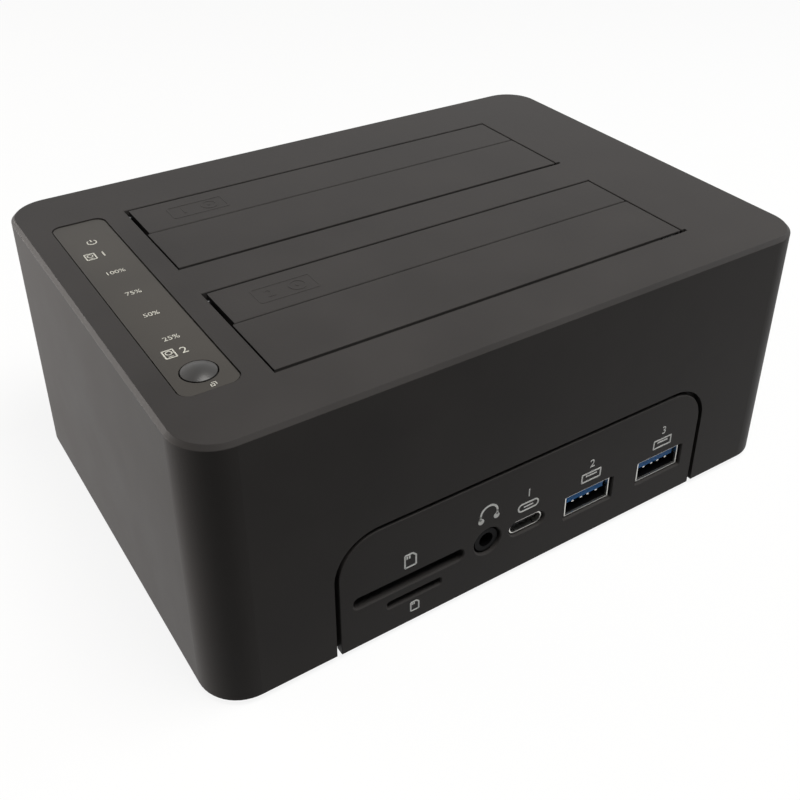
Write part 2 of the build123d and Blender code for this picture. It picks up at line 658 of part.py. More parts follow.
def make_fascia():
    back = FRONT_Y + WALL
    face = arch(FASCIA_WIDTH, 0, FASCIA_R, BODY_Z0 - FASCIA_DROP, BODY_Z0 + FASCIA_HEIGHT)
    body = wall_solid(face, FRONT_Y + FASCIA_SINK, back)
    body = chamfer(body.faces().sort_by(Axis.Y)[0].edges().sort_by(Axis.Z)[1:], EDGE_BREAK / 3)
    flange = arch(FASCIA_WIDTH + FASCIA_FLANGE * 2, 0, FASCIA_R + FASCIA_FLANGE, BASE_Z1 + FIT,
                  BODY_Z0 + FASCIA_HEIGHT + FASCIA_FLANGE)
    body += wall_solid(flange, back + RUN, back + FASCIA_FLANGE_T)
    body += wall_solid(arch(FASCIA_WIDTH - 1, 0, FASCIA_R, BASE_Z1 + FIT, BODY_Z0 + FASCIA_HEIGHT - 1),
                       back - 0.2, back + 0.2)
    z0 = BASE_Z1
    for sx in (-1, 1):
        x = sx * FASCIA_BOSS_X
        y0 = back + FIT
        body += block(x - FASCIA_BOSS_W / 2, x + FASCIA_BOSS_W / 2, back, y0 + FASCIA_BOSS_D,
                      z0 + RUN, z0 + FASCIA_BOSS_H)
        body -= rod_z(x, fascia_screw_y(), SMALL_SCREW_R + RUN, z0 - 1, z0 + FASCIA_BOSS_H - 1)
    for shape in port_openings():
        body -= wall_solid(shape, FRONT_Y - 1, back + FASCIA_FLANGE_T + 1)
        body -= wall_mouth(shape, FRONT_Y + FASCIA_SINK, PORT_BEVEL)
    return solid_of(body)


def make_well(index):
    cx, cy = SLOT_X, well_centre(index)
    wide = SLOT_WIDTH + WELL_END_GAP * 2
    deep = SLOT_DEPTH + WELL_GAP * 2
    low_wide = DRIVE_WIDTH + DRIVE_SLACK
    low_deep = DRIVE_THICKNESS + DRIVE_SLACK
    thick = WELL_WALL * 2
    at = Pos(cx, cy)
    body = plate(at * Rectangle(wide + thick, deep + thick), SHELF_Z - WELL_WALL, WELL_Z1)
    body += plate(at * Rectangle(low_wide + thick, low_deep + thick), WELL_Z0, SHELF_Z)
    body -= plate(at * Rectangle(wide, deep), SHELF_Z, WELL_Z1 + 1)
    body -= plate(at * Rectangle(low_wide, low_deep), FLOOR_Z, SHELF_Z + 1)
    lead = at * Rectangle(low_wide, low_deep)
    body -= top_mouth(lead, SHELF_Z, WELL_WALL * 0.5)
    for ex, ey in ear_places(index):
        x, y = cx + ex, cy + ey
        inward = -1 if ey > 0 else 1
        y0, y1 = sorted((y - inward * EAR_LENGTH / 2, y + inward * (EAR_LENGTH / 2 + WELL_WALL / 2)))
        body += block(x - EAR_WIDTH / 2, x + EAR_WIDTH / 2, y0, y1, EAR_Z1 - EAR_THICKNESS, EAR_Z1 - 0.01)
        body -= rod_z(x, y, SMALL_SCREW_R + FIT, EAR_Z1 - EAR_THICKNESS - 1, EAR_Z1 + 1)
    sx, sy = socket_place(index)
    body -= block(sx - SOCKET_BASE_W / 2 - FIT, sx + SOCKET_BASE_W / 2 + FIT,
                  sy - SOCKET_BASE_D / 2 - FIT, sy + SOCKET_BASE_D / 2 + FIT, WELL_Z0 - 1, FLOOR_Z + 1)
    for name in ("_front", "_rear"):
        body -= LEAVES[("front_bay", "rear_bay")[index] + name].tail_notch()
    return solid_of(body)


def socket_slots(index):
    sx, sy = socket_place(index)
    total = SOCKET_POWER_W + SOCKET_SLOT_GAP + SOCKET_DATA_W
    power = sx - total / 2 + SOCKET_POWER_W / 2
    data = sx + total / 2 - SOCKET_DATA_W / 2
    return ((power, SOCKET_POWER_W, 15), (data, SOCKET_DATA_W, 7)), sy


def make_drive_socket(index):
    sx, sy = socket_place(index)
    top = FLOOR_Z + SOCKET_RISE
    base_top = FLOOR_Z - RUN
    body = block(sx - SOCKET_BASE_W / 2, sx + SOCKET_BASE_W / 2,
                 sy - SOCKET_BASE_D / 2, sy + SOCKET_BASE_D / 2, BOARD_Z1, base_top)
    upper = block(sx - SOCKET_TOP_W / 2, sx + SOCKET_TOP_W / 2, sy - SOCKET_TOP_D / 2, sy + SOCKET_TOP_D / 2,
                  base_top - 1, top)
    upper = chamfer(upper.faces().sort_by(Axis.Z)[-1].edges(), EDGE_BREAK * 2)
    body += upper
    slots, y = socket_slots(index)
    for x, width, count in slots:
        body -= block(x - width / 2, x + width / 2, y - SOCKET_SLOT / 2, y + SOCKET_SLOT / 2,
                      top - SOCKET_SLOT_DEPTH, top + 1)
        body -= block(x + width / 2 - SOCKET_SLOT, x + width / 2, y - SOCKET_SLOT / 2 - SOCKET_KEY, y,
                      top - SOCKET_SLOT_DEPTH, top + 1)
    return solid_of(body)


def make_drive_contacts(index):
    top = FLOOR_Z + SOCKET_RISE
    slots, y = socket_slots(index)
    rows = []
    for x, width, count in slots:
        for number in range(count):
            cx = x - (SOCKET_SLOT - SOCKET_PITCH) / 2 + (number - (count - 1) / 2) * SOCKET_PITCH
            half = SOCKET_CONTACT_W / 2
            wall = y + SOCKET_SLOT / 2
            rows.append(block(cx - half, cx + half, wall - SOCKET_CONTACT_T, wall,
                              top - SOCKET_SLOT_DEPTH, top - EDGE_BREAK * 2))
    return group(rows)


def make_main_board():
    body = block(-BOARD_X1, BOARD_X1, BOARD_Y0, BOARD_Y1, BOARD_Z0, BOARD_Z1)
    for x in WIDE_XS:
        half = WIDE_W / 2 + FIT
        body -= block(x - half, x + half, BOARD_Y0 - 1, PORT_Y + WIDE_L + FIT, BOARD_Z0 - 1, BOARD_Z1 + 1)
    for sx in (-1, 1):
        for y in BOARD_SCREW_YS:
            body -= rod_z(sx * BOARD_SCREWS_X, y, SMALL_SCREW_R + FIT, BOARD_Z0 - 1, BOARD_Z1 + 1)
    return solid_of(body)


def socket_y0():
    return FRONT_Y + WALL + FASCIA_FLANGE_T + FIT


def make_card_socket():
    y0, z = socket_y0(), BODY_Z0 + CARD_Z
    high = z + (z - BOARD_Z1) * 0.9
    half = CARD_SOCKET_W / 2
    body = block(CARD_X - half, CARD_X + half, y0, y0 + CARD_SOCKET_L, BOARD_Z1, high)
    body -= block(CARD_X - CARD_GAP_W / 2, CARD_X + CARD_GAP_W / 2, y0 - 1, y0 + CARD_GAP_L,
                  z - CARD_GAP_H / 2, z + CARD_GAP_H / 2)
    return solid_of(body)


def make_small_card_socket():
    y0, z = socket_y0(), BODY_Z0 + SMALL_CARD_Z
    low = z - SMALL_CARD_GAP_H / 2 - 0.3
    half = SMALL_CARD_SOCKET_W / 2
    body = block(SMALL_CARD_X - half, SMALL_CARD_X + half, y0, y0 + SMALL_CARD_SOCKET_L, low, BOARD_Z0)
    half = SMALL_CARD_GAP_W / 2
    body -= block(SMALL_CARD_X - half, SMALL_CARD_X + half, y0 - 1, y0 + SMALL_CARD_GAP_L,
                  z - SMALL_CARD_GAP_H / 2, z + SMALL_CARD_GAP_H / 2)
    return solid_of(body)


def make_audio_jack():
    y0, z = socket_y0(), BODY_Z0 + JACK_Z
    body = block(JACK_X - JACK_W / 2, JACK_X + JACK_W / 2, y0, y0 + JACK_L, BOARD_Z1, z + JACK_NOSE_R)
    body += rod_y(JACK_X, z, JACK_NOSE_R, PORT_Y, y0 + RUN)
    body -= rod_y(JACK_X, z, JACK_BORE_R, PORT_Y - 1, PORT_Y + JACK_BORE_L)
    return solid_of(body)


# Small reversible port: a stadium shell on legs, drawn for the front and turned for the rear
def oval_port_at(shape, x, z, rear):
    if rear:
        shape = Rot(0, 0, 180) * shape
    y = REAR_Y - PORT_RECESS if rear else PORT_Y
    return solid_of(Pos(x, y, z) * shape)


def make_oval_port_shell(x, z, rear):
    tube = wall_solid(capsule(OVAL_W, OVAL_H), 0, OVAL_L)
    tube -= wall_solid(capsule(OVAL_W - OVAL_WALL * 2, OVAL_H - OVAL_WALL * 2), -1, OVAL_L + 1)
    leg_z = BOARD_Z1 - z
    leg_x = OVAL_W / 2 - OVAL_WALL
    board_edge = BOARD_Y0 - PORT_Y
    for sx in (-1, 1):
        x0, x1 = sorted((sx * leg_x, sx * (leg_x + OVAL_WALL)))
        tube += block(x0, x1, board_edge + 0.5, OVAL_L - 0.5, leg_z, 0)
    return oval_port_at(tube, x, z, rear)


def make_oval_port_tongue(x, z, rear):
    inner = capsule(OVAL_W - OVAL_WALL * 2 - RUN, OVAL_H - OVAL_WALL * 2 - RUN)
    body = wall_solid(inner, OVAL_L - 3.0, OVAL_L - 0.2)
    half_w, half_h = OVAL_TONGUE_W / 2, OVAL_TONGUE_H / 2
    body += block(-half_w, half_w, 0.8, OVAL_L - 2.5, -half_h, half_h)
    return oval_port_at(body, x, z, rear)


def make_wide_port_shell(x):
    z = BODY_Z0 + WIDE_Z
    y0, y1 = PORT_Y, PORT_Y + WIDE_L
    body = block(x - WIDE_W / 2, x + WIDE_W / 2, y0, y1, z - WIDE_H / 2, z + WIDE_H / 2)
    body -= block(x - WIDE_W / 2 + WIDE_WALL, x + WIDE_W / 2 - WIDE_WALL, y0 - 1, y1 - WIDE_WALL,
                  z - WIDE_H / 2 + WIDE_WALL, z + WIDE_H / 2 - WIDE_WALL)
    wing = WIDE_W / 2 + FIT + WIDE_WING
    wing_y = BOARD_Y0 + WIDE_WING_L
    for sx in (-1, 1):
        x0, x1 = sorted((x + sx * (WIDE_W / 2 - 0.1), x + sx * wing))
        body += block(x0, x1, wing_y, wing_y + WIDE_WING_L, BOARD_Z1 + 0.01, BOARD_Z1 + 0.01 + WIDE_WALL)
    return solid_of(body)


def make_wide_port_tongue(x):
    z = BODY_Z0 + WIDE_Z
    inner_w = WIDE_W / 2 - WIDE_WALL - RUN
    inner_h = WIDE_H / 2 - WIDE_WALL - RUN
    y1 = PORT_Y + WIDE_L - WIDE_WALL - RUN
    body = block(x - inner_w, x + inner_w, y1 - 4.5, y1, z - inner_h, z + inner_h)
    top = z + WIDE_H / 2 - WIDE_WALL - WIDE_TONGUE_DROP
    half = WIDE_TONGUE_W / 2
    blade = block(x - half, x + half, PORT_Y + 0.6, y1 - 4.0, top - WIDE_TONGUE_H, top)
    blade = chamfer(blade.faces().sort_by(Axis.Y)[0].edges(), EDGE_BREAK)
    return solid_of(body + blade)


# Rear power inlet
def make_dc_jack():
    y1 = REAR_Y - WALL - FIT
    body = block(DC_X - DC_W / 2, DC_X + DC_W / 2, y1 - DC_L, y1, BOARD_Z1, DC_Z + DC_H / 2)
    body += rod_y(DC_X, DC_Z, DC_NOSE_R, y1 - 1, REAR_Y - PORT_RECESS)
    body -= rod_y(DC_X, DC_Z, DC_BORE_R, y1 - DC_L + 2.0, REAR_Y)
    return solid_of(body)


def make_dc_pin():
    y0 = REAR_Y - WALL - FIT - DC_L + 2.0
    y1 = REAR_Y - PORT_RECESS - 1.0
    body = rod_y(DC_X, DC_Z, DC_PIN_R, y0, y1)
    return solid_of(fillet(body.faces().sort_by(Axis.Y)[-1].edges(), DC_PIN_R * 0.6))


# Rear power switch, drawn round its pivot
def pivot_y():
    return REAR_Y - EDGE_BREAK - ROCKER_DEPTH - math.sin(math.radians(ROCKER_TILT)) * ROCKER_W / 2


def rocker_room():
    tilt = math.radians(ROCKER_TILT)
    return ROCKER_W / 2 * math.cos(tilt) + ROCKER_DEPTH * math.sin(tilt) + ROCKER_CLEAR


def make_switch_body():
    y1 = REAR_Y - WALL - FIT
    y0 = y1 - SWITCH_L
    body = block(SWITCH_X - SWITCH_W / 2, SWITCH_X + SWITCH_W / 2, y0, y1, BOARD_Z1, BOARD_Z1 + SWITCH_H)
    half_w = rocker_room()
    half_h = ROCKER_H / 2 + ROCKER_CLEAR
    body -= block(SWITCH_X - half_w, SWITCH_X + half_w, y0 + SWITCH_BACK, y1 + 1,
                  SWITCH_Z - half_h, SWITCH_Z + half_h)
    body -= rod_z(SWITCH_X, pivot_y(), PIVOT_R + 0.01, SWITCH_Z - half_h - 1.0, SWITCH_Z + half_h + 1.0)
    return solid_of(body)


def make_rocker():
    half = ROCKER_W / 2
    back = -PIVOT_R - 1.4
    points = [(-half, 0.3), (-half, ROCKER_DEPTH), (0, ROCKER_DEPTH - ROCKER_DIP), (half, ROCKER_DEPTH),
              (half, 0.3), (half * 0.35, back), (-half * 0.35, back)]
    body = extrude(make_face(Polyline(*points, close=True)), amount=ROCKER_H / 2, both=True)
    body = fillet(body.edges().filter_by(Axis.Z).group_by(Axis.Y)[-1], EDGE_BREAK)
    body -= rod_z(0, 0, PIVOT_R + RUN, -ROCKER_H, ROCKER_H)
    return solid_of(Pos(SWITCH_X, pivot_y(), SWITCH_Z) * Rot(0, 0, -ROCKER_TILT) * body)


def make_pivot():
    half = ROCKER_H / 2 + ROCKER_CLEAR + 1.0
    return solid_of(rod_z(SWITCH_X, pivot_y(), PIVOT_R, SWITCH_Z - half, SWITCH_Z + half))


# Loose items on the main board
def make_chips():
    land = SLOT_FRONTS[1] - BAY_LAND / 2
    bridges = [(SLOT_X + CHIP_OFFSET, socket_place(index)[1], BRIDGE_CHIP) for index in (0, 1)]
    chips = bridges + [(SLOT_X + CHIP_OFFSET, land, MAIN_CHIP), (SLOT_X - CHIP_OFFSET, land, MEMORY_CHIP)]
    chips.append((JACK_X, socket_y0() + JACK_L + AUDIO_CHIP_GAP + AUDIO_CHIP / 2, AUDIO_CHIP))
    top = BOARD_Z1 + CHIP_HEIGHT
    return group([block(x - s / 2, x + s / 2, y - s / 2, y + s / 2, BOARD_Z1, top) for x, y, s in chips])


def make_capacitors():
    y = BOARD_Y1 - CAN_INSET
    middle = (HOST_X + SWITCH_X) / 2
    half = CAN_R + CAN_SEAT_EDGE
    cans = []
    for x in (middle - CAN_PITCH, middle, middle + CAN_PITCH):
        can = rod_z(x, y, CAN_R, BOARD_Z1 + CAN_SEAT - RUN, BOARD_Z1 + CAN_HEIGHT)
        can = fillet(can.edges().sort_by(Axis.Z)[-1], CAN_SEAT_EDGE * 2)
        seat = block(x - half, x + half, y - half, y + half, BOARD_Z1, BOARD_Z1 + CAN_SEAT)
        cans.append(can + seat)
    return group(cans)


# Indicator strip
def make_overlay():
    fit = OVERLAY_FIT * 2
    sheet = RectangleRounded(STRIP_WIDTH - fit, STRIP_LENGTH - fit, STRIP_R - OVERLAY_FIT)
    sheet = Pos(STRIP_X, STRIP_Y) * sheet
    z0 = BODY_Z1 - STRIP_RECESS
    body = plate(sheet, z0, z0 + OVERLAY_THICKNESS)
    body -= rod_z(STRIP_X, BUTTON_Y, BUTTON_R + BUTTON_GAP, z0 - 1, BODY_Z1 + 1)
    return solid_of(body)


def make_button():
    z0 = STRIP_BOARD_Z1 + SWITCH_BODY_H + PLUNGER_PROUD
    flange_z1 = COVER_Z - FIT
    flange_z0 = flange_z1 - BUTTON_FLANGE_T
    rim = BODY_Z1 - 0.1
    ball = (BUTTON_R ** 2 + BUTTON_CROWN ** 2) / (2 * BUTTON_CROWN)
    half_way = BUTTON_R / 2
    shoulder = rim + BUTTON_CROWN - ball + math.sqrt(ball ** 2 - half_way ** 2)
    sides = Polyline((0, rim + BUTTON_CROWN), (0, z0), (BUTTON_STEM_R, z0), (BUTTON_STEM_R, flange_z0),
                     (BUTTON_FLANGE_R, flange_z0), (BUTTON_FLANGE_R, flange_z1), (BUTTON_R, flange_z1),
                     (BUTTON_R, rim))
    crown = ThreePointArc((BUTTON_R, rim), (half_way, shoulder), (0, rim + BUTTON_CROWN))
    profile = make_face(sides.edges() + [crown])
    return solid_of(Pos(STRIP_X, BUTTON_Y, 0) * revolve(Plane.XZ * profile, Axis.Z))


def make_key_switch():
    half = SWITCH_BODY / 2
    z0, z1 = STRIP_BOARD_Z1, STRIP_BOARD_Z1 + SWITCH_BODY_H
    body = block(STRIP_X - half, STRIP_X + half, BUTTON_Y - half, BUTTON_Y + half, z0, z1)
    body -= rod_z(STRIP_X, BUTTON_Y, PLUNGER_R + 0.3, z0 + 1.0, z1 + 1)
    return solid_of(body)


def make_plunger():
    z1 = STRIP_BOARD_Z1 + SWITCH_BODY_H
    return solid_of(rod_z(STRIP_X, BUTTON_Y, PLUNGER_R, z1 - 1.5, z1 + PLUNGER_PROUD))


def make_strip_board():
    y0, y1 = STRIP_Y0, STRIP_Y0 + STRIP_LENGTH
    half = STRIP_BOARD_W / 2
    body = block(STRIP_X - half, STRIP_X + half, y0, y1, STRIP_BOARD_Z0, STRIP_BOARD_Z1 - 0.01)
    for y in STRIP_BOSS_YS:
        body -= rod_z(STRIP_X + STRIP_BOSS_X, y, SMALL_SCREW_R + FIT, STRIP_BOARD_Z0 - 1, STRIP_BOARD_Z1 + 1)
    return solid_of(body)


def make_leds():
    half = LED_SIZE / 2
    x = STRIP_X + LED_X
    z0 = STRIP_BOARD_Z1 - 0.01
    return group([block(x - half, x + half, y - half, y + half, z0, z0 + LED_HEIGHT) for y in LAMP_YS])


def make_light_guide():
    x = STRIP_X + LED_X
    z0 = STRIP_BOARD_Z1 + LED_HEIGHT + GUIDE_LED_GAP
    y0, y1 = LAMP_Y0 - GUIDE_END, LAMP_Y1 + GUIDE_END
    body = block(x - GUIDE_BAR_W / 2, x + GUIDE_BAR_W / 2, y0, y1, z0, z0 + GUIDE_BAR_T)
    half = GUIDE_BAR_W / 2
    for y in (y0, y1 - GUIDE_LEG):
        body += block(x - half, x + half, y, y + GUIDE_LEG, STRIP_BOARD_Z1 - 0.01, z0 + 0.1)
    for y in LAMP_YS:
        body += rod_z(x, y, GUIDE_R, z0 + 0.1, BODY_Z1 - STRIP_RECESS - 0.05)
    return solid_of(body)


def header_places():
    upper = (STRIP_X - HEADER_SHIFT, STRIP_BOARD_Z0 - HEADER_H, STRIP_BOARD_Z0)
    lower = (-BOARD_X1 + HEADER_W / 2 + 0.6, BOARD_Z1, BOARD_Z1 + HEADER_H)
    return upper, lower


def make_headers():
    half_y = RIBBON_W / 2 + HEADER_CHEEK
    shells = []
    for x, z0, z1 in header_places():
        shell = block(x - HEADER_W / 2, x + HEADER_W / 2, RIBBON_Y - half_y, RIBBON_Y + half_y, z0, z1)
        slot = RIBBON_T / 2 + RUN
        low = z0 - 1 if z1 == STRIP_BOARD_Z0 else z1 - HEADER_SLOT
        high = z0 + HEADER_SLOT if z1 == STRIP_BOARD_Z0 else z1 + 1
        half_tape = RIBBON_W / 2 + RUN
        shell -= block(x - slot, x + slot, RIBBON_Y - half_tape, RIBBON_Y + half_tape, low, high)
        shells.append(shell)
    return group(shells)


def make_ribbon():
    (ux, uz0, uz1), (lx, lz0, lz1) = header_places()
    top, foot = uz0 + RIBBON_SEAT, lz1 - RIBBON_SEAT
    bow = min(ux, lx) - RIBBON_BOW
    middle = (top + foot) / 2
    path = FilletPolyline((ux, 0, top), (ux, 0, uz0 - RIBBON_LEAD), (bow, 0, middle + RIBBON_FLAT),
                          (bow, 0, middle - RIBBON_FLAT), (lx, 0, lz1 + RIBBON_LEAD), (lx, 0, foot),
                          radius=RIBBON_BEND)
    tape = sweep(Plane(path @ 0, x_dir=(0, 1, 0), z_dir=path % 0) * Rectangle(RIBBON_W, RIBBON_T), path=path)
    return solid_of(Pos(0, RIBBON_Y, 0) * tape)


# Screws
def make_housing_screws():
    one = screw(SCREW_HEAD_R, SCREW_HEAD_H, SCREW_R, SCREW_LENGTH)
    return group([Pos(sx * BOSS_X, sy * BOSS_Y, BODY_Z0 + 0.1) * one for sx in (-1, 1) for sy in (-1, 1)])


def make_board_screws():
    one = Rot(180, 0, 0) * screw(SMALL_HEAD_R, SMALL_HEAD_H, SMALL_SCREW_R, BOARD_THICKNESS + SCREW_GRIP)
    z = BOARD_Z1 + SMALL_HEAD_H
    return group([Pos(sx * BOARD_SCREWS_X, y, z) * one for sx in (-1, 1) for y in BOARD_SCREW_YS])


def make_well_screws():
    one = screw(SMALL_HEAD_R, SMALL_HEAD_H, SMALL_SCREW_R, EAR_THICKNESS + EAR_DROP - 0.5)
    z = EAR_Z1 - EAR_THICKNESS - SMALL_HEAD_H
    return group([Pos(SLOT_X + ex, well_centre(i) + ey, z) * one for i in (0, 1) for ex, ey in ear_places(i)])


def make_fascia_screws():
    one = screw(SMALL_HEAD_R, SMALL_HEAD_H, SMALL_SCREW_R, FASCIA_BOSS_H - 1.0)
    return group([Pos(sx * FASCIA_BOSS_X, fascia_screw_y(), BODY_Z0 + 0.1) * one for sx in (-1, 1)])


def make_strip_board_screws():
    one = screw(SMALL_HEAD_R, SMALL_HEAD_H, SMALL_SCREW_R, STRIP_BOARD_T + SCREW_GRIP)
    z = STRIP_BOARD_Z0 - SMALL_HEAD_H
    return group([Pos(STRIP_X + STRIP_BOSS_X, y, z) * one for y in STRIP_BOSS_YS])


# All pieces
save("housing", make_housing())
save("base_plate", make_base())
save("front_fascia", make_fascia())
for sx, side in ((-1, "left"), (1, "right")):
    save("foot_front_" + side, make_foot(sx, -1))
    save("foot_rear_" + side, make_foot(sx, 1))
for name, leaf in LEAVES.items():
    save(name + "_door", leaf.door())
    save(name + "_hinge_pin", leaf.pin())
    save(name + "_spring", leaf.spring())
for index, bay in enumerate(("front", "rear")):
    save(bay + "_bay_well", make_well(index))
    save(bay + "_drive_socket", make_drive_socket(index))
    save(bay + "_drive_contacts", make_drive_contacts(index))
save("main_board", make_main_board())
save("card_socket", make_card_socket())
save("small_card_socket", make_small_card_socket())
save("audio_jack", make_audio_jack())
save("oval_port_shell", make_oval_port_shell(OVAL_X, BODY_Z0 + OVAL_Z, False))
save("oval_port_tongue", make_oval_port_tongue(OVAL_X, BODY_Z0 + OVAL_Z, False))
save("host_port_shell", make_oval_port_shell(HOST_X, HOST_Z, True))
save("host_port_tongue", make_oval_port_tongue(HOST_X, HOST_Z, True))
for number, x in enumerate(WIDE_XS):
    save("wide_port_%d_shell" % (number + 1), make_wide_port_shell(x))
    save("wide_port_%d_tongue" % (number + 1), make_wide_port_tongue(x))
save("dc_jack_body", make_dc_jack())
save("dc_jack_pin", make_dc_pin())
save("power_switch_body", make_switch_body())
save("power_switch_rocker", make_rocker())
save("power_switch_pivot", make_pivot())
save("board_chips", make_chips())
save("board_capacitors", make_capacitors())
save("indicator_overlay", make_overlay())
save("clone_button", make_button())
save("clone_switch_body", make_key_switch())
save("clone_switch_plunger", make_plunger())
save("indicator_board", make_strip_board())
save("indicator_leds", make_leds())
save("light_guide", make_light_guide())
save("ribbon_headers", make_headers())
save("indicator_ribbon", make_ribbon())
save("housing_screws", make_housing_screws())
save("board_screws", make_board_screws())
save("well_screws", make_well_screws())
save("fascia_screws", make_fascia_screws())
save("indicator_board_screws", make_strip_board_screws())
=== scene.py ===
import json
import math

import bmesh
import bpy
from bpy.props import FloatProperty, FloatVectorProperty, PointerProperty
from mathutils import Matrix, Vector


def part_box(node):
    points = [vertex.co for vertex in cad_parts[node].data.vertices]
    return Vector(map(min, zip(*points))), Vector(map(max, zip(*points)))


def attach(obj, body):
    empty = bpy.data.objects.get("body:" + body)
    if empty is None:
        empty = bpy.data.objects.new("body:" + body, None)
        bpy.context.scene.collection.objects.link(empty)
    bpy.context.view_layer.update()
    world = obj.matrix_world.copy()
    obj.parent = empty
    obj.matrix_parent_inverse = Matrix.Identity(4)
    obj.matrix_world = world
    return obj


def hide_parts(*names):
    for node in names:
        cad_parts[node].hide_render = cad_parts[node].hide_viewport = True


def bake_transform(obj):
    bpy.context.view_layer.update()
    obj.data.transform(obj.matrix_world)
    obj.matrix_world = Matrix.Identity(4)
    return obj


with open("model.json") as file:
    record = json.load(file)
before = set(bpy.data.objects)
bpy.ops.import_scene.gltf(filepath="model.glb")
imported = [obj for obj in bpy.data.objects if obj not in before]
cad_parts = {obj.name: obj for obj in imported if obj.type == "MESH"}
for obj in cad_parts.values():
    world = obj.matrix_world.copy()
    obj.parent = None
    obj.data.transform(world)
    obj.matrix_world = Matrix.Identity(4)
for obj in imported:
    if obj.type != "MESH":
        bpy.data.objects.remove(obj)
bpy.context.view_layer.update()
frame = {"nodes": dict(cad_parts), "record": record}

bl_info = {
    "name": "Drive duplicator",
    "version": (1, 0, 0),
    "blender": (4, 5, 0),
    "location": "3D View > Sidebar > Duplicator",
    "description": "Dresses a drive duplicator's solids with finishes, printed marks and springs",
    "category": "Object",
}

MM = 0.001

# Edges that turn less than this are shaded smooth
SMOOTH_ANGLE = math.radians(40)

# Bays from the front, each with the number that its rear door carries
BAYS = {"front_bay": "2", "rear_bay": "1"}
DOOR_ENDS = ("front", "rear")


def linear(hex_colour):
    """A colour written as sRGB hex, as the linear RGBA that shaders take."""
    channels = [int(hex_colour[i:i + 2], 16) / 255 for i in (1, 3, 5)]
    steps = [c / 12.92 if c <= 0.04045 else ((c + 0.055) / 1.055) ** 2.4 for c in channels]
    return (*steps, 1.0)


def per_metre(size_mm):
    """Texture scale that gives a feature of this size on Object coordinates in metres."""
    return 1.0 / (size_mm * MM)


# Settings
def colour_property(name, description, hex_colour):
    return FloatVectorProperty(
        name=name, description=description, subtype="COLOR", size=4, min=0.0, max=1.0,
        default=linear(hex_colour)
    )


def length_property(name, description, default_mm):
    return FloatProperty(
        name=name, description=description, unit="LENGTH", precision=5, default=default_mm * MM
    )


def power_property(name, description, watts):
    return FloatProperty(name=name, description=description, unit="POWER", default=watts)


def angle_property(name, description, degrees):
    return FloatProperty(name=name, description=description, subtype="ANGLE", default=math.radians(degrees))


class DuplicatorFinish(bpy.types.PropertyGroup):
    """Colours of the finishes."""

    case_black: colour_property("Case black", "Moulded housing, fascia and doors", "#3a3837")
    well_black: colour_property("Well black", "Inside of the drive wells", "#161616")
    film_black: colour_property("Strip film", "Smoked film of the indicator strip", "#413e3a")
    button_black: colour_property("Button black", "Polished cap of the clone button", "#343332")
    port_blue: colour_property("Port blue", "Tongues of the wide data ports", "#2b86d8")
    ink_white: colour_property("Ink white", "Printed marks of the ports", "#f2f2ef")
    ink_grey: colour_property("Ink grey", "Printed marks of the strip", "#c4c2b8")
    board_green: colour_property("Board green", "Solder mask of the boards", "#0e3b22")


class DuplicatorMarks(bpy.types.PropertyGroup):
    """Sizes of the printed and raised marks."""

    ink: length_property("Ink", "Thickness of the printed ink", 0.03)
    raised: length_property("Raised", "Height of the marks moulded on the doors", 0.06)
    stroke: length_property("Stroke", "Line width of the pictograms", 0.28)
    figure_height: length_property("Figure height", "Height of the figures on the progress scale", 1.4)


class DuplicatorStage(bpy.types.PropertyGroup):
    """Camera and light."""

    floor: colour_property("Floor", "Plain pale floor", "#f4f4f2")
    bounce: colour_property("Floor bounce", "What the floor throws back on the duplicator", "#5c5c5b")
    key_power: power_property("Key light", "Low soft light at the left", 7.4)
    main_power: power_property("Main light", "Soft light over the front", 7.0)
    side_power: power_property("Side light", "Weak light at the right", 1.7)
    ambient: FloatProperty(name="Ambient", description="Strength of the room's light", default=0.005)
    lens: FloatProperty(
        name="Lens", description="Focal length on a 36 mm sensor", unit="CAMERA", default=47.65
    )
    eye: FloatVectorProperty(
        name="Camera place", description="Where the picture was taken from", subtype="TRANSLATION",
        default=(-0.118313, -0.186423, 0.174676)
    )
    azimuth: angle_property("Azimuth", "Turn from the front, negative to the left", -33.977)
    elevation: angle_property("Elevation", "Height over the horizon", 30.807)
    roll: angle_property("Roll", "Tilt of the picture", 0.716)
    shift_x: FloatProperty(name="Shift X", description="Sideways framing", default=-0.0321)
    shift_y: FloatProperty(name="Shift Y", description="Upright framing", default=-0.1302)


# Materials
def add_node(tree, kind, settings=None, values=None, links=None):
    """Adds a node, sets its options and socket values, and links its inputs."""
    node = tree.nodes.new(kind)
    for key, value in (settings or {}).items():
        setattr(node, key, value)
    for socket, value in (values or {}).items():
        node.inputs[socket].default_value = value
    for socket, source in (links or {}).items():
        tree.links.new(source, node.inputs[socket])
    return node


def new_material(name):
    """An empty node material and its tree."""
    material = bpy.data.materials.new(name)
    material.use_nodes = True
    material.node_tree.nodes.clear()
    return material, material.node_tree


def finish_surface(tree, values, links=None):
    """Ends the tree in a surface with these values and links."""
    shader = add_node(tree, "ShaderNodeBsdfPrincipled", values=values, links=links)
    add_node(tree, "ShaderNodeOutputMaterial", links={"Surface": shader.outputs["BSDF"]})


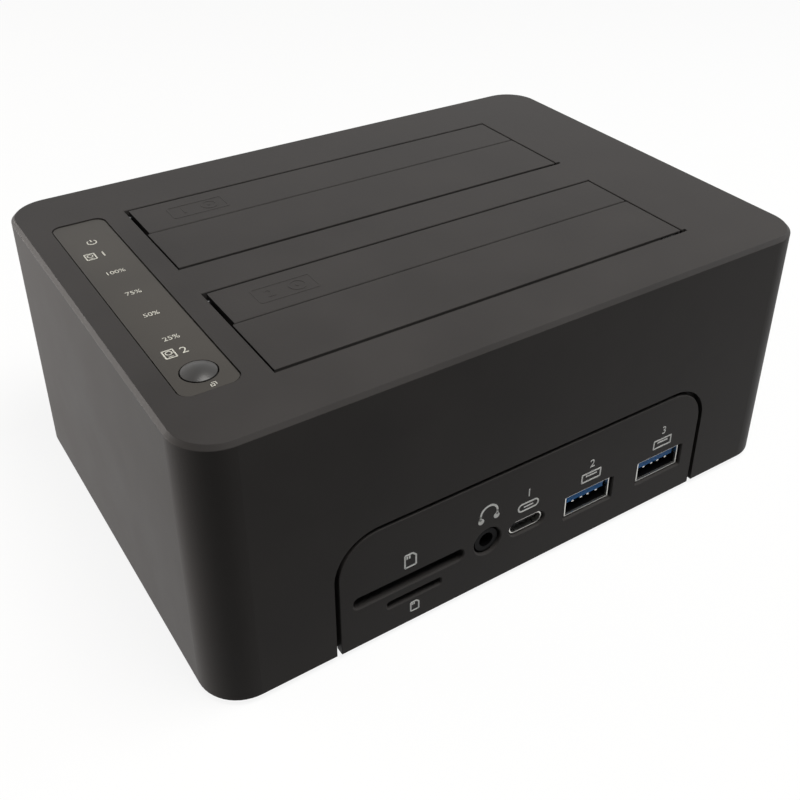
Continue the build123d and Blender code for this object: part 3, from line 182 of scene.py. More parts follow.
def moulded(name, colour, grain_mm, depth_mm, rough, smudge_mm=22.0, specular=0.5):
    """A moulded or printed surface: an even grain that breaks up every reflection, with slow changes of
    tone and sheen where the melt or the ink flowed. The grain is drawn coarser than life so that it shows."""
    # Shares of the colour at the two ends of the noise's used range
    dark, light = 0.9, 1.1
    noise_low, noise_high = 0.3, 0.7
    material, tree = new_material(name)
    place = add_node(tree, "ShaderNodeTexCoord").outputs["Object"]
    grain = add_node(
        tree, "ShaderNodeTexNoise", values={"Scale": per_metre(grain_mm), "Detail": 3.0, "Roughness": 0.6},
        links={"Vector": place}
    )
    smudge = add_node(
        tree, "ShaderNodeTexNoise", values={"Scale": per_metre(smudge_mm), "Detail": 2.0},
        links={"Vector": place}
    )
    tone = add_node(tree, "ShaderNodeValToRGB", links={"Fac": smudge.outputs["Fac"]})
    for stop, position, share in zip(tone.color_ramp.elements, (noise_low, noise_high), (dark, light)):
        stop.position = position
        stop.color = (*[c * share for c in colour[:3]], 1.0)
    sheen = add_node(
        tree, "ShaderNodeMapRange",
        values={"From Min": noise_low, "From Max": noise_high, "To Min": rough[0], "To Max": rough[1]},
        links={"Value": smudge.outputs["Fac"]}
    )
    relief = add_node(
        tree, "ShaderNodeBump", values={"Strength": 0.6, "Distance": depth_mm * MM},
        links={"Height": grain.outputs["Fac"]}
    )
    finish_surface(
        tree, {"IOR": 1.53, "Specular IOR Level": specular},
        {
            "Base Color": tone.outputs["Color"], "Roughness": sheen.outputs["Result"],
            "Normal": relief.outputs["Normal"]
        }
    )
    return material


def case_plastic(finish):
    """ABS from a spark-eroded tool: matte and finely grained, so that light only spreads on it."""
    return moulded(
        "ABS_matte_spark_texture", finish.case_black,
        grain_mm=0.55, depth_mm=0.03, rough=(0.42, 0.5), specular=0.05
    )


def well_plastic(finish):
    """ABS from a plain tool: darker than the case, with a faint sheen on its long walls."""
    return moulded(
        "ABS_plain_moulded", finish.well_black,
        grain_mm=1.2, depth_mm=0.02, rough=(0.42, 0.5), specular=0.2
    )


def socket_plastic(finish):
    """PBT of connectors: deep black that lets the contacts stand out."""
    return moulded(
        "PBT_black_moulded", linear("#0a0a0b"),
        grain_mm=0.8, depth_mm=0.015, rough=(0.38, 0.48), specular=0.05
    )


def chip_plastic(finish):
    """Epoxy of chip packages: dull charcoal."""
    return moulded("epoxy_chip_mould", linear("#1a1a1b"), grain_mm=0.4, depth_mm=0.02, rough=(0.55, 0.7))


def white_nylon(finish):
    """Natural nylon of cable headers, also worn by the ribbon and the lamps: a warm, slightly waxy white."""
    return moulded("nylon_natural_moulded", linear("#d9d6cc"), grain_mm=0.9, depth_mm=0.01, rough=(0.4, 0.5))


def foot_rubber(finish):
    """Silicone rubber: black with hardly any sheen."""
    return moulded(
        "silicone_rubber_matte", linear("#1b1b1b"),
        grain_mm=0.7, depth_mm=0.03, rough=(0.75, 0.88), specular=0.3
    )


def strip_film(finish):
    """Polycarbonate film, smoked and finely etched: satin, smoother than the case round it."""
    return moulded(
        "polycarbonate_smoked_film", finish.film_black,
        grain_mm=0.35, depth_mm=0.008, rough=(0.34, 0.4), smudge_mm=30.0, specular=0.12
    )


def button_plastic(finish):
    """ABS from a polished tool: a soft highlight on the dome, with faint handling marks."""
    return moulded(
        "ABS_polished_black", finish.button_black,
        grain_mm=2.5, depth_mm=0.004, rough=(0.34, 0.42), smudge_mm=4.0, specular=0.3
    )


def port_plastic(finish):
    """PBT dyed blue: an even, lightly shining colour in the mouths of the wide ports."""
    return moulded(
        "PBT_blue_moulded", finish.port_blue,
        grain_mm=0.8, depth_mm=0.01, rough=(0.35, 0.45), specular=0.15
    )


def port_ink(finish):
    """Pad-printing ink: a thin flat white with the case's grain telegraphing through."""
    return moulded(
        "pad_print_ink_white", finish.ink_white,
        grain_mm=0.3, depth_mm=0.006, rough=(0.5, 0.62), smudge_mm=2.0, specular=0.2
    )


def strip_ink(finish):
    """Screen-printing ink on the strip: the same flat ink, but greyer, as if seen through the smoked film."""
    return moulded(
        "screen_print_ink_grey", finish.ink_grey,
        grain_mm=0.3, depth_mm=0.006, rough=(0.45, 0.55), smudge_mm=2.0, specular=0.2
    )


def drawn_metal(name, hex_colour, rough, streak_mm):
    """Metal that was rolled or drawn: fine streaks from front to rear that draw out its highlights."""
    streak_stretch = (1.0, 0.08, 1.0)
    material, tree = new_material(name)
    place = add_node(tree, "ShaderNodeTexCoord").outputs["Object"]
    stretch = add_node(tree, "ShaderNodeMapping", values={"Scale": streak_stretch}, links={"Vector": place})
    streak = add_node(
        tree, "ShaderNodeTexNoise", values={"Scale": per_metre(streak_mm), "Detail": 2.0},
        links={"Vector": stretch.outputs["Vector"]}
    )
    sheen = add_node(
        tree, "ShaderNodeMapRange", values={"To Min": rough[0], "To Max": rough[1]},
        links={"Value": streak.outputs["Fac"]}
    )
    finish_surface(
        tree, {"Base Color": linear(hex_colour), "Metallic": 1.0}, {"Roughness": sheen.outputs["Result"]}
    )
    return material


def port_steel(finish):
    """Nickel-plated sheet: a bright rim round each data port."""
    return drawn_metal("steel_nickel_plated_sheet", "#c9c8c4", rough=(0.22, 0.38), streak_mm=0.4)


def spring_steel(finish):
    """Phosphated wire: dark grey with a dull glint on each turn."""
    return drawn_metal("spring_steel_phosphated_wire", "#3d3d3c", rough=(0.4, 0.55), streak_mm=0.3)


def screw_steel(finish):
    """Black oxide: nearly as dark as the case, but metallic."""
    return drawn_metal("steel_black_oxide", "#3a3a3b", rough=(0.35, 0.5), streak_mm=0.5)


def can_aluminium(finish):
    """Drawn aluminium: pale cans on the board."""
    return drawn_metal("aluminium_drawn_can", "#c4c6c8", rough=(0.25, 0.35), streak_mm=0.6)


def contact_gold(finish):
    """A flash of gold on bronze: warm, clear glints in the sockets."""
    return drawn_metal("phosphor_bronze_gold_flash", "#d8ab55", rough=(0.2, 0.3), streak_mm=0.4)


def solder_mask(finish):
    """Glass epoxy board under solder mask: glossy lacquer over fine copper runs that show as paler lines."""
    run_mm, run_depth_mm = 6.0, 0.03
    material, tree = new_material("glass_epoxy_solder_mask")
    place = add_node(tree, "ShaderNodeTexCoord").outputs["Object"]
    runs = add_node(
        tree, "ShaderNodeTexBrick", settings={"offset": 0.35, "squash": 1.0},
        values={
            "Color1": finish.board_green, "Color2": linear("#114528"), "Mortar": linear("#1d6a3c"),
            "Scale": per_metre(run_mm), "Mortar Size": 0.03, "Brick Width": 1.4, "Row Height": 0.3
        },
        links={"Vector": place}
    )
    relief = add_node(
        tree, "ShaderNodeBump", values={"Strength": 0.4, "Distance": run_depth_mm * MM},
        links={"Height": runs.outputs["Fac"]}
    )
    finish_surface(
        tree, {"Roughness": 0.3, "IOR": 1.55},
        {"Base Color": runs.outputs["Color"], "Normal": relief.outputs["Normal"]}
    )
    return material


def clear_guide(finish):
    """Clear polycarbonate from a polished tool, with a slight haze from its flow lines."""
    haze_mm = 3.0
    material, tree = new_material("polycarbonate_clear_moulded")
    place = add_node(tree, "ShaderNodeTexCoord").outputs["Object"]
    haze = add_node(tree, "ShaderNodeTexNoise", values={"Scale": per_metre(haze_mm)}, links={"Vector": place})
    sheen = add_node(
        tree, "ShaderNodeMapRange", values={"To Min": 0.08, "To Max": 0.2},
        links={"Value": haze.outputs["Fac"]}
    )
    finish_surface(
        tree, {"Base Color": linear("#eef1f2"), "IOR": 1.58, "Transmission Weight": 0.9},
        {"Roughness": sheen.outputs["Result"]}
    )
    return material


# The record's material slots and the finish that each one takes
FINISHES = {
    "black_housing_plastic": case_plastic,
    "black_well_plastic": well_plastic,
    "black_socket_plastic": socket_plastic,
    "smoked_overlay": strip_film,
    "gloss_button_plastic": button_plastic,
    "blue_port_plastic": port_plastic,
    "chip_plastic": chip_plastic,
    "white_plastic": white_nylon,
    "clear_plastic": clear_guide,
    "circuit_board": solder_mask,
    "gold_contacts": contact_gold,
    "steel_shell": port_steel,
    "steel_wire": spring_steel,
    "steel_screws": screw_steel,
    "aluminium_can": can_aluminium,
    "rubber_feet": foot_rubber,
}
MADE = {}


def material_of(maker):
    """The material of that finish, made once."""
    if maker not in MADE:
        MADE[maker] = maker(bpy.context.scene.duplicator_finish)
    return MADE[maker]


# Modelling helpers
def start_piece():
    """Goes to object mode with nothing selected."""
    if bpy.context.object and bpy.context.object.mode != "OBJECT":
        bpy.ops.object.mode_set(mode="OBJECT")
    bpy.ops.object.select_all(action="DESELECT")


def pick(objects):
    """Selects just these objects and makes the first one active."""
    start_piece()
    for item in objects:
        item.select_set(True)
    bpy.context.view_layer.objects.active = objects[0]


def edit_select(test):
    """In edit mode, selects the vertices whose place passes the test."""
    mesh = bmesh.from_edit_mesh(bpy.context.edit_object.data)
    for vertex in mesh.verts:
        vertex.select_set(bool(test(vertex.co)))
    mesh.select_flush_mode()
    bmesh.update_edit_mesh(bpy.context.edit_object.data)


def apply_place(objects):
    """Moves the objects' place, turn and scale into their meshes."""
    pick(objects)
    bpy.ops.object.transform_apply(location=True, rotation=True, scale=True)


def joined(objects, name):
    """Joins the objects into one piece of that name."""
    pick(objects)
    if len(objects) > 1:
        bpy.ops.object.join()
    return named(bpy.context.object, name)


def named(piece, name):
    """Names a piece and its mesh."""
    piece.name = name
    piece.data.name = name
    return piece


def dress(piece, material):
    """Gives a piece its one material."""
    piece.data.materials.clear()
    piece.data.materials.append(material)


def middle_x(node):
    """Centre of a solid from left to right."""
    low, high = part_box(node)
    return (low[0] + high[0]) / 2


# Flat strokes, drawn in the XY plane and thickened later
def bar(x0, y0, x1, y1, width):
    """A straight stroke."""
    start_piece()
    run = Vector((x1 - x0, y1 - y0))
    bpy.ops.mesh.primitive_plane_add(
        size=1.0, location=((x0 + x1) / 2, (y0 + y1) / 2, 0), rotation=(0, 0, math.atan2(run.y, run.x))
    )
    stroke = bpy.context.object
    stroke.scale = (run.length, width, 1)
    apply_place([stroke])
    return stroke


def disc(x, y, radius):
    """A dot."""
    start_piece()
    bpy.ops.mesh.primitive_circle_add(vertices=24, radius=radius, fill_type="NGON", location=(x, y, 0))
    dot = bpy.context.object
    apply_place([dot])
    return dot


def ring(x, y, radius, width, keep=None):
    """A round stroke; keep takes a direction as an angle from +X and says whether that part stays."""
    start_piece()
    inner, outer = radius - width / 2, radius + width / 2
    bpy.ops.mesh.primitive_circle_add(vertices=64, radius=inner, fill_type="NOTHING", location=(0, 0, 0))
    bpy.ops.object.mode_set(mode="EDIT")
    bpy.ops.mesh.select_all(action="SELECT")
    bpy.ops.mesh.extrude_edges_move()
    bpy.ops.transform.resize(value=(outer / inner, outer / inner, 1), center_override=(0, 0, 0))
    if keep:
        edit_select(lambda co: not keep(math.atan2(co.y, co.x)))
        bpy.ops.mesh.delete(type="VERT")
    bpy.ops.mesh.select_all(action="SELECT")
    bpy.ops.mesh.normals_make_consistent(inside=False)
    bpy.ops.object.mode_set(mode="OBJECT")
    stroke = bpy.context.object
    stroke.location = (x, y, 0)
    apply_place([stroke])
    if stroke.data.polygons[0].normal.z < 0:
        stroke.data.flip_normals()
    return stroke


def frame_outline(x, y, width, height, stroke_width, corner):
    """A rectangle drawn as an outline with rounded corners."""
    start_piece()
    bpy.ops.mesh.primitive_plane_add(size=1.0, location=(x, y, 0))
    shape = bpy.context.object
    shape.scale = (width, height, 1)
    apply_place([shape])
    bpy.ops.object.mode_set(mode="EDIT")
    bpy.ops.mesh.select_all(action="SELECT")
    bpy.ops.mesh.bevel(offset=corner, segments=5, affect="VERTICES", profile=0.5)
    bpy.ops.mesh.select_all(action="SELECT")
    bpy.ops.mesh.inset(thickness=stroke_width)
    bpy.ops.mesh.delete(type="FACE")
    bpy.ops.object.mode_set(mode="OBJECT")
    return shape


def figure(text, x, y, height):
    """Plain figures, centred on a point and fitted to a height."""
    start_piece()
    bpy.ops.object.text_add()
    label = bpy.context.object
    label.data.body = text
    bpy.ops.object.convert(target="MESH")
    label = bpy.context.object
    factor = height / label.dimensions.y
    label.scale = (factor, factor, 1)
    apply_place([label])
    xs = [v.co.x for v in label.data.vertices]
    ys = [v.co.y for v in label.data.vertices]
    label.location = (x - (min(xs) + max(xs)) / 2, y - (min(ys) + max(ys)) / 2, 0)
    apply_place([label])
    return label


def thickened(strokes, name, thickness, place):
    """Joins flat strokes into one piece, gives them their thickness and puts them on their surface."""
    piece = joined(strokes, name)
    wall = piece.modifiers.new("thickness", "SOLIDIFY")
    wall.thickness = thickness
    wall.offset = 1.0
    bpy.ops.object.modifier_apply(modifier=wall.name)
    piece.matrix_world = place
    apply_place([piece])
    return piece


# Pictograms
def power_sign(x, y, size, stroke):
    """A ring that is open at its top, with a stem in the gap."""
    top, half_gap = math.pi / 2, math.radians(35)
    stem_low, stem_high = y + size * 0.1, y + size * 0.62
    return [
        ring(x, y, size / 2, stroke, lambda angle: abs(angle - top) > half_gap),
        bar(x, stem_low, x, stem_high, stroke),
    ]


def drive_sign(x, y, size, stroke, number):
    """A drive with its platter and label, and its number at the right."""
    width = size * 0.8
    left = x - size * 0.5
    thin = stroke * 0.8
    label_half, label_row = width * 0.2, y - size * 0.3
    return [
        frame_outline(left, y, width, size, stroke, stroke * 0.9),
        ring(left, y + size * 0.12, size * 0.2, thin),
        bar(left - label_half, label_row, left + label_half, label_row, thin),
        figure(number, x + size * 0.45, y, size * 0.7),
    ]


def copy_sign(x, y, size, stroke):
    """A square with the corner of a second one behind it."""
    side, step = size * 0.7, size * 0.3
    near, far = size * 0.2, size * 0.5
    return [
        frame_outline(x - step / 2, y - step / 2, side, side, stroke, stroke * 0.8),
        bar(x - near, y + far, x + far, y + far, stroke),
        bar(x + far, y + far + stroke / 2, x + far, y - near, stroke),
    ]


def card_sign(x, y, width, height, stroke):
    """A card with a cut corner and two contacts."""
    cut = width * 0.3
    left, right = x - width / 2, x + width / 2
    low, high = y - height / 2, y + height / 2
    contact_low, contact_high = high - height * 0.34, high - height * 0.1
    strokes = [
        bar(left, low, left, high, stroke),
        bar(left, low, right, low, stroke),
        bar(left, high, right - cut, high, stroke),
        bar(right - cut, high, right, high - cut, stroke),
        bar(right, high - cut, right, low, stroke),
    ]
    for contact in (left + width * 0.2, left + width * 0.42):
        strokes.append(bar(contact, contact_low, contact, contact_high, stroke))
    return strokes


def headphone_sign(x, y, width, stroke):
    """A band over two ear cups."""
    radius = width / 2 - stroke
    past_level = 0.15
    stem_low, stem_high = y - width * 0.2, y + width * 0.02
    cup_out, cup_row, cup_radius = radius * 0.92, y - width * 0.26, stroke * 1.5
    return [
        ring(x, y, radius, stroke, lambda angle: angle > -past_level or angle < past_level - math.pi),
        bar(x - radius, stem_low, x - radius, stem_high, stroke),
        bar(x + radius, stem_low, x + radius, stem_high, stroke),
        disc(x - cup_out, cup_row, cup_radius),
        disc(x + cup_out, cup_row, cup_radius),
    ]


def flat_port_sign(x, y, width, stroke):
    """The mouth of a wide port with its tongue."""
    half, tongue = width * 0.28, y + width * 0.06
    return [
        frame_outline(x, y, width, width * 0.45, stroke, stroke * 0.6),
        bar(x - half, tongue, x + half, tongue, stroke),
    ]


def round_port_sign(x, y, width, stroke):
    """The mouth of an oval port with its tongue."""
    height, half = width * 0.4, width * 0.22
    return [
        frame_outline(x, y, width, height, stroke, height * 0.48),
        bar(x - half, y, x + half, y, stroke * 0.8),
    ]


# Operators
class DUPLICATOR_OT_finishes(bpy.types.Operator):
    """Give every solid of the duplicator the finish of its material slot"""

    bl_idname = "duplicator.finishes"
    bl_label = "Finish solids"

    def execute(self, context):
        for part in frame["record"]["subparts"]:
            solid = frame["nodes"][part["node"]]
            for holder in solid.material_slots:
                holder.material = material_of(FINISHES[part["material_slot"]])
        return {"FINISHED"}


class DUPLICATOR_OT_strip_marks(bpy.types.Operator):
    """Print the progress scale and the signs on the indicator strip"""

    bl_idname = "duplicator.strip_marks"
    bl_label = "Strip marks"

    # Centres of the rows from the strip's front end, shifts to the right and sizes, in millimetres
    power_row = 65.7
    power_size = 2.0
    drive_rows = {"1": 59.3, "2": 14.6}
    drive_shift = -0.9
    drive_size = 3.0
    scale_rows = {"100%": 50.1, "75%": 39.9, "50%": 30.0, "25%": 19.8}
    copy_row = 1.35
    copy_shift = 0.6
    copy_size = 1.2

    # Share of the usual stroke
    copy_weight = 0.6

    def execute(self, context):
        marks = context.scene.duplicator_marks
        low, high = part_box("indicator_overlay")
        centre = (low[0] + high[0]) / 2
        front = low[1]
        stroke = marks.stroke
        strokes = power_sign(centre, front + self.power_row * MM, self.power_size * MM, stroke)
        for number, row in self.drive_rows.items():
            strokes += drive_sign(
                centre + self.drive_shift * MM, front + row * MM, self.drive_size * MM, stroke, number
            )
        for text, row in self.scale_rows.items():
            strokes.append(figure(text, centre, front + row * MM, marks.figure_height))
        strokes += copy_sign(
            centre + self.copy_shift * MM, front + self.copy_row * MM, self.copy_size * MM,
            stroke * self.copy_weight
        )
        piece = thickened(strokes, "strip_marks", marks.ink, Matrix.Translation((0, 0, high[2])))
        dress(piece, material_of(strip_ink))
        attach(piece, "dock")
        return {"FINISHED"}


class DUPLICATOR_OT_port_marks(bpy.types.Operator):
    """Print the signs above and below the front ports"""

    bl_idname = "duplicator.port_marks"
    bl_label = "Port marks"

    # Heights of the signs over the housing's lower edge, and their sizes, in millimetres
    card_row = 17.2
    card_size = (2.7, 3.4)
    small_card_row = 3.7
    small_card_size = (2.0, 2.5)
    headphone_row = 19.9
    headphone_width = 5.4
    port_row = 17.0
    port_width = 5.8
    number_row = 20.6
    number_height = 2.1

    # Multiples of the usual stroke
    sign_weight = 1.4
    small_card_weight = 1.2
    headphone_weight = 1.8

    def execute(self, context):
        marks = context.scene.duplicator_marks
        face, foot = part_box("front_fascia")[0][1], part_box("housing")[0][2]
        stroke = marks.stroke
        strokes = []
        cards = (
            ("card_socket", self.card_row, self.card_size, self.sign_weight),
            ("small_card_socket", self.small_card_row, self.small_card_size, self.small_card_weight),
        )
        for node, row, (width, height), weight in cards:
            strokes += card_sign(middle_x(node), foot + row * MM, width * MM, height * MM, stroke * weight)
        strokes += headphone_sign(
            middle_x("audio_jack"), foot + self.headphone_row * MM, self.headphone_width * MM,
            stroke * self.headphone_weight
        )
        ports = (
            ("1", "oval_port_shell", round_port_sign),
            ("2", "wide_port_1_shell", flat_port_sign),
            ("3", "wide_port_2_shell", flat_port_sign),
        )
        for number, node, sign in ports:
            x = middle_x(node)
            strokes += sign(x, foot + self.port_row * MM, self.port_width * MM, stroke * self.sign_weight)
            strokes.append(figure(number, x, foot + self.number_row * MM, self.number_height * MM))
        upright = Matrix.Translation((0, face, 0)) @ Matrix.Rotation(math.pi / 2, 4, "X")
        piece = thickened(strokes, "port_marks", marks.ink, upright)
        dress(piece, material_of(port_ink))
        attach(piece, "dock")
        return {"FINISHED"}


class DUPLICATOR_OT_door_marks(bpy.types.Operator):
    """Raise a plain drive sign with the bay's number on each rear door"""

    bl_idname = "duplicator.door_marks"
    bl_label = "Door marks"

    # The sign's centre from the door's left end, shifts from that centre and sizes, in millimetres
    from_left = 16.5
    outline_size = (14.0, 6.2)
    outline_corner = 0.8
    number_shift = -3.6
    number_height = 2.8
    platter_shift = 2.8
    platter_radius = 1.8
    hub_radius = 0.45

    # Multiple of the usual stroke
    weight = 1.6

    def execute(self, context):
        marks = context.scene.duplicator_marks
        stroke = marks.stroke * self.weight
        width, height = (side * MM for side in self.outline_size)
        for bay, number in BAYS.items():
            node = bay + "_rear_door"
            low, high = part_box(node)
            x = low[0] + self.from_left * MM
            y = (low[1] + high[1]) / 2
            platter = x + self.platter_shift * MM
            strokes = [
                frame_outline(x, y, width, height, stroke, self.outline_corner * MM),
                figure(number, x + self.number_shift * MM, y, self.number_height * MM),
                ring(platter, y, self.platter_radius * MM, stroke),
                disc(platter, y, self.hub_radius * MM),
            ]
            surface = Matrix.Translation((0, 0, high[2]))
            piece = thickened(strokes, bay + "_door_mark", marks.raised, surface)
            dress(piece, material_of(case_plastic))
            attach(piece, node)
        return {"FINISHED"}


class DUPLICATOR_OT_door_springs(bpy.types.Operator):
    """Wind the torsion spring of each door, which twists between the dock and the door"""

    bl_idname = "duplicator.door_springs"
    bl_label = "Door springs"

    # Sizes in millimetres
    pitch = 0.5
    wire = 0.36
    clear_of_pin = 0.1

    # Counts
    turns = 8
    steps_per_turn = 20
    wire_sides = 10

    def execute(self, context):
        for bay in BAYS:
            for end in DOOR_ENDS:
                self.wind(bay + "_" + end, 1 if end == "front" else -1)
        return {"FINISHED"}

    def wind(self, leaf, way):
        """The coil round the hinge pin, with one arm on the dock and one under the door."""
        pin_low, pin_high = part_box(leaf + "_hinge_pin")
        pin_y, pin_z = (pin_low[1] + pin_high[1]) / 2, (pin_low[2] + pin_high[2]) / 2
        radius = (pin_high[2] - pin_low[2]) / 2 + (self.clear_of_pin + self.wire / 2) * MM
        spring_low, spring_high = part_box(leaf + "_spring")
        front_arm, rear_arm = pin_y - spring_low[1], spring_high[1] - pin_y
        tail, arm = (front_arm, rear_arm) if way > 0 else (rear_arm, front_arm)
        length = self.turns * self.pitch * MM
        slope = self.pitch * MM / (2 * math.pi * radius)
        start_x = spring_low[0] + slope * tail + self.wire / 2 * MM
        start_piece()
        bpy.ops.mesh.primitive_circle_add(
            vertices=self.wire_sides, radius=self.wire / 2 * MM, location=(start_x, pin_y, pin_z),
            rotation=(math.pi / 2, 0, 0)
        )
        piece = bpy.context.object
        bpy.ops.object.transform_apply(location=False, rotation=True, scale=True)
        bpy.ops.object.mode_set(mode="EDIT")
        bpy.ops.mesh.select_all(action="SELECT")
        bpy.ops.transform.translate(value=(0, 0, -radius))
        bpy.ops.object.mode_set(mode="OBJECT")
        coil = piece.modifiers.new("coil", "SCREW")
        coil.axis = "X"
        coil.angle = way * 2 * math.pi
        coil.iterations = self.turns
        coil.steps = self.steps_per_turn
        coil.render_steps = self.steps_per_turn
        coil.screw_offset = self.pitch * MM
        bpy.ops.object.modifier_apply(modifier=coil.name)
        self.draw_out(-self.wire * MM, self.wire * MM, Vector((-slope, -way, 0)), tail)
        self.draw_out(length - self.wire * MM, length + self.wire * MM, Vector((slope, way, 0)), arm)
        bpy.ops.object.mode_set(mode="EDIT")
        bpy.ops.mesh.select_all(action="SELECT")
        bpy.ops.mesh.normals_make_consistent(inside=False)
        bpy.ops.object.mode_set(mode="OBJECT")
        bpy.ops.object.shade_smooth_by_angle(angle=SMOOTH_ANGLE)
        named(piece, leaf + "_spring_coil")
        apply_place([piece])
        dress(piece, material_of(spring_steel))
        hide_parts(leaf + "_spring")
        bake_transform(piece)

    def draw_out(self, low, high, direction, length):
        """Pulls the open end between two places along the pin out into a straight arm and closes it."""
        bpy.ops.object.mode_set(mode="EDIT")
        mesh = bmesh.from_edit_mesh(bpy.context.edit_object.data)
        for edge in mesh.edges:
            middle = (edge.verts[0].co.x + edge.verts[1].co.x) / 2
            edge.select_set(edge.is_boundary and low < middle < high)
        bmesh.update_edit_mesh(bpy.context.edit_object.data)
        bpy.ops.mesh.select_mode(type="EDGE")
        bpy.ops.mesh.extrude_edges_move()
        bpy.ops.transform.translate(value=tuple(direction.normalized() * length))
        bpy.ops.mesh.edge_face_add()
        bpy.ops.object.mode_set(mode="OBJECT")


class DUPLICATOR_OT_port_fittings(bpy.types.Operator):
    """Line the wide ports below their tongues with a black trough that paints the shade of their lower
    hollow, and fit the contact tips
    """

    bl_idname = "duplicator.port_fittings"
    bl_label = "Port fittings"

    # Sizes in millimetres
    shell_wall = 0.3
    shell_half_width = 6.55
    tongue_rise = 0.06
    rear_block = 4.55
    # Sizes of the black trough that paints the shade under the tongue
    painted_shade_wall = 0.25
    painted_shade_fit = 0.02
    painted_shade_drop = 0.05
    lip = 0.45
    tip_places = (-3.5, -1.0, 1.0, 3.5)
    tip_size = (0.7, 1.4, 0.4)
    tip_back = 0.75
    tip_round = 0.12

    def execute(self, context):
        for port in ("wide_port_1", "wide_port_2"):
            low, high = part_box(port + "_shell")
            middle = Vector(((low[0] + high[0]) / 2, low[1], (low[2] + high[2]) / 2))
            self.painted_shade_liner(port, middle, low[2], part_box(port + "_tongue")[1][1])
            self.tips(port, middle)
        return {"FINISHED"}

    def painted_shade_liner(self, port, middle, floor, back):
        """A black trough on the shell's floor, open at its mouth and under the tongue: painted shade that
        darkens the hollow under the tongue, which is bare shell in a real port.
        """
        half = (self.shell_half_width - self.shell_wall - self.painted_shade_fit) * MM
        y0, y1 = middle.y + self.lip * MM, back - self.rear_block * MM
        z0 = floor + (self.shell_wall + self.painted_shade_fit) * MM
        z1 = middle.z + (self.tongue_rise - self.painted_shade_drop) * MM
        start_piece()
        bpy.ops.mesh.primitive_cube_add(size=1.0, location=(middle.x, (y0 + y1) / 2, (z0 + z1) / 2))
        piece = bpy.context.object
        piece.scale = (2 * half, y1 - y0, z1 - z0)
        apply_place([piece])
        bpy.ops.object.mode_set(mode="EDIT")
        mesh = bmesh.from_edit_mesh(piece.data)
        for face in mesh.faces:
            face.select_set(face.normal.z > 0.5 or face.normal.y < -0.5)
        bmesh.update_edit_mesh(piece.data)
        bpy.ops.mesh.select_mode(type="FACE")
        bpy.ops.mesh.delete(type="FACE")
        bpy.ops.object.mode_set(mode="OBJECT")
        wall = piece.modifiers.new("wall", "SOLIDIFY")
        wall.thickness = self.painted_shade_wall * MM
        wall.offset = -1.0
        bpy.ops.object.modifier_apply(modifier=wall.name)
        named(piece, port + "_liner")
        # Black connector plastic here is painted shade in the hollow under the tongue
        dress(piece, material_of(socket_plastic))
        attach(piece, "dock")

    def tips(self, port, middle):
        """The bent tips of the four contacts, just under the tongue's front edge."""
        width, depth, height = (size * MM for size in self.tip_size)
        under = middle.z + self.tongue_rise * MM - height / 2
        start_piece()
        bpy.ops.mesh.primitive_cube_add(
            size=1.0, location=(middle.x, middle.y + self.tip_back * MM + depth / 2, under)
        )
        first = bpy.context.object
        first.scale = (width, depth, height)
        apply_place([first])
        bpy.ops.object.mode_set(mode="EDIT")
        edit_select(lambda co: co.z < under)
        bpy.ops.mesh.bevel(offset=self.tip_round * MM, segments=3, affect="EDGES")
        bpy.ops.object.mode_set(mode="OBJECT")
        tips = [first]
        for place in self.tip_places[1:]:
            pick([first])
            bpy.ops.object.duplicate(linked=False)
            copy = bpy.context.object
            copy.location.x = place * MM
            tips.append(copy)
        first.location.x = self.tip_places[0] * MM
        apply_place(tips)
        piece = joined(tips, port + "_contact_tips")
        bpy.ops.object.shade_smooth_by_angle(angle=SMOOTH_ANGLE)
        dress(piece, material_of(port_steel))
        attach(piece, "dock")


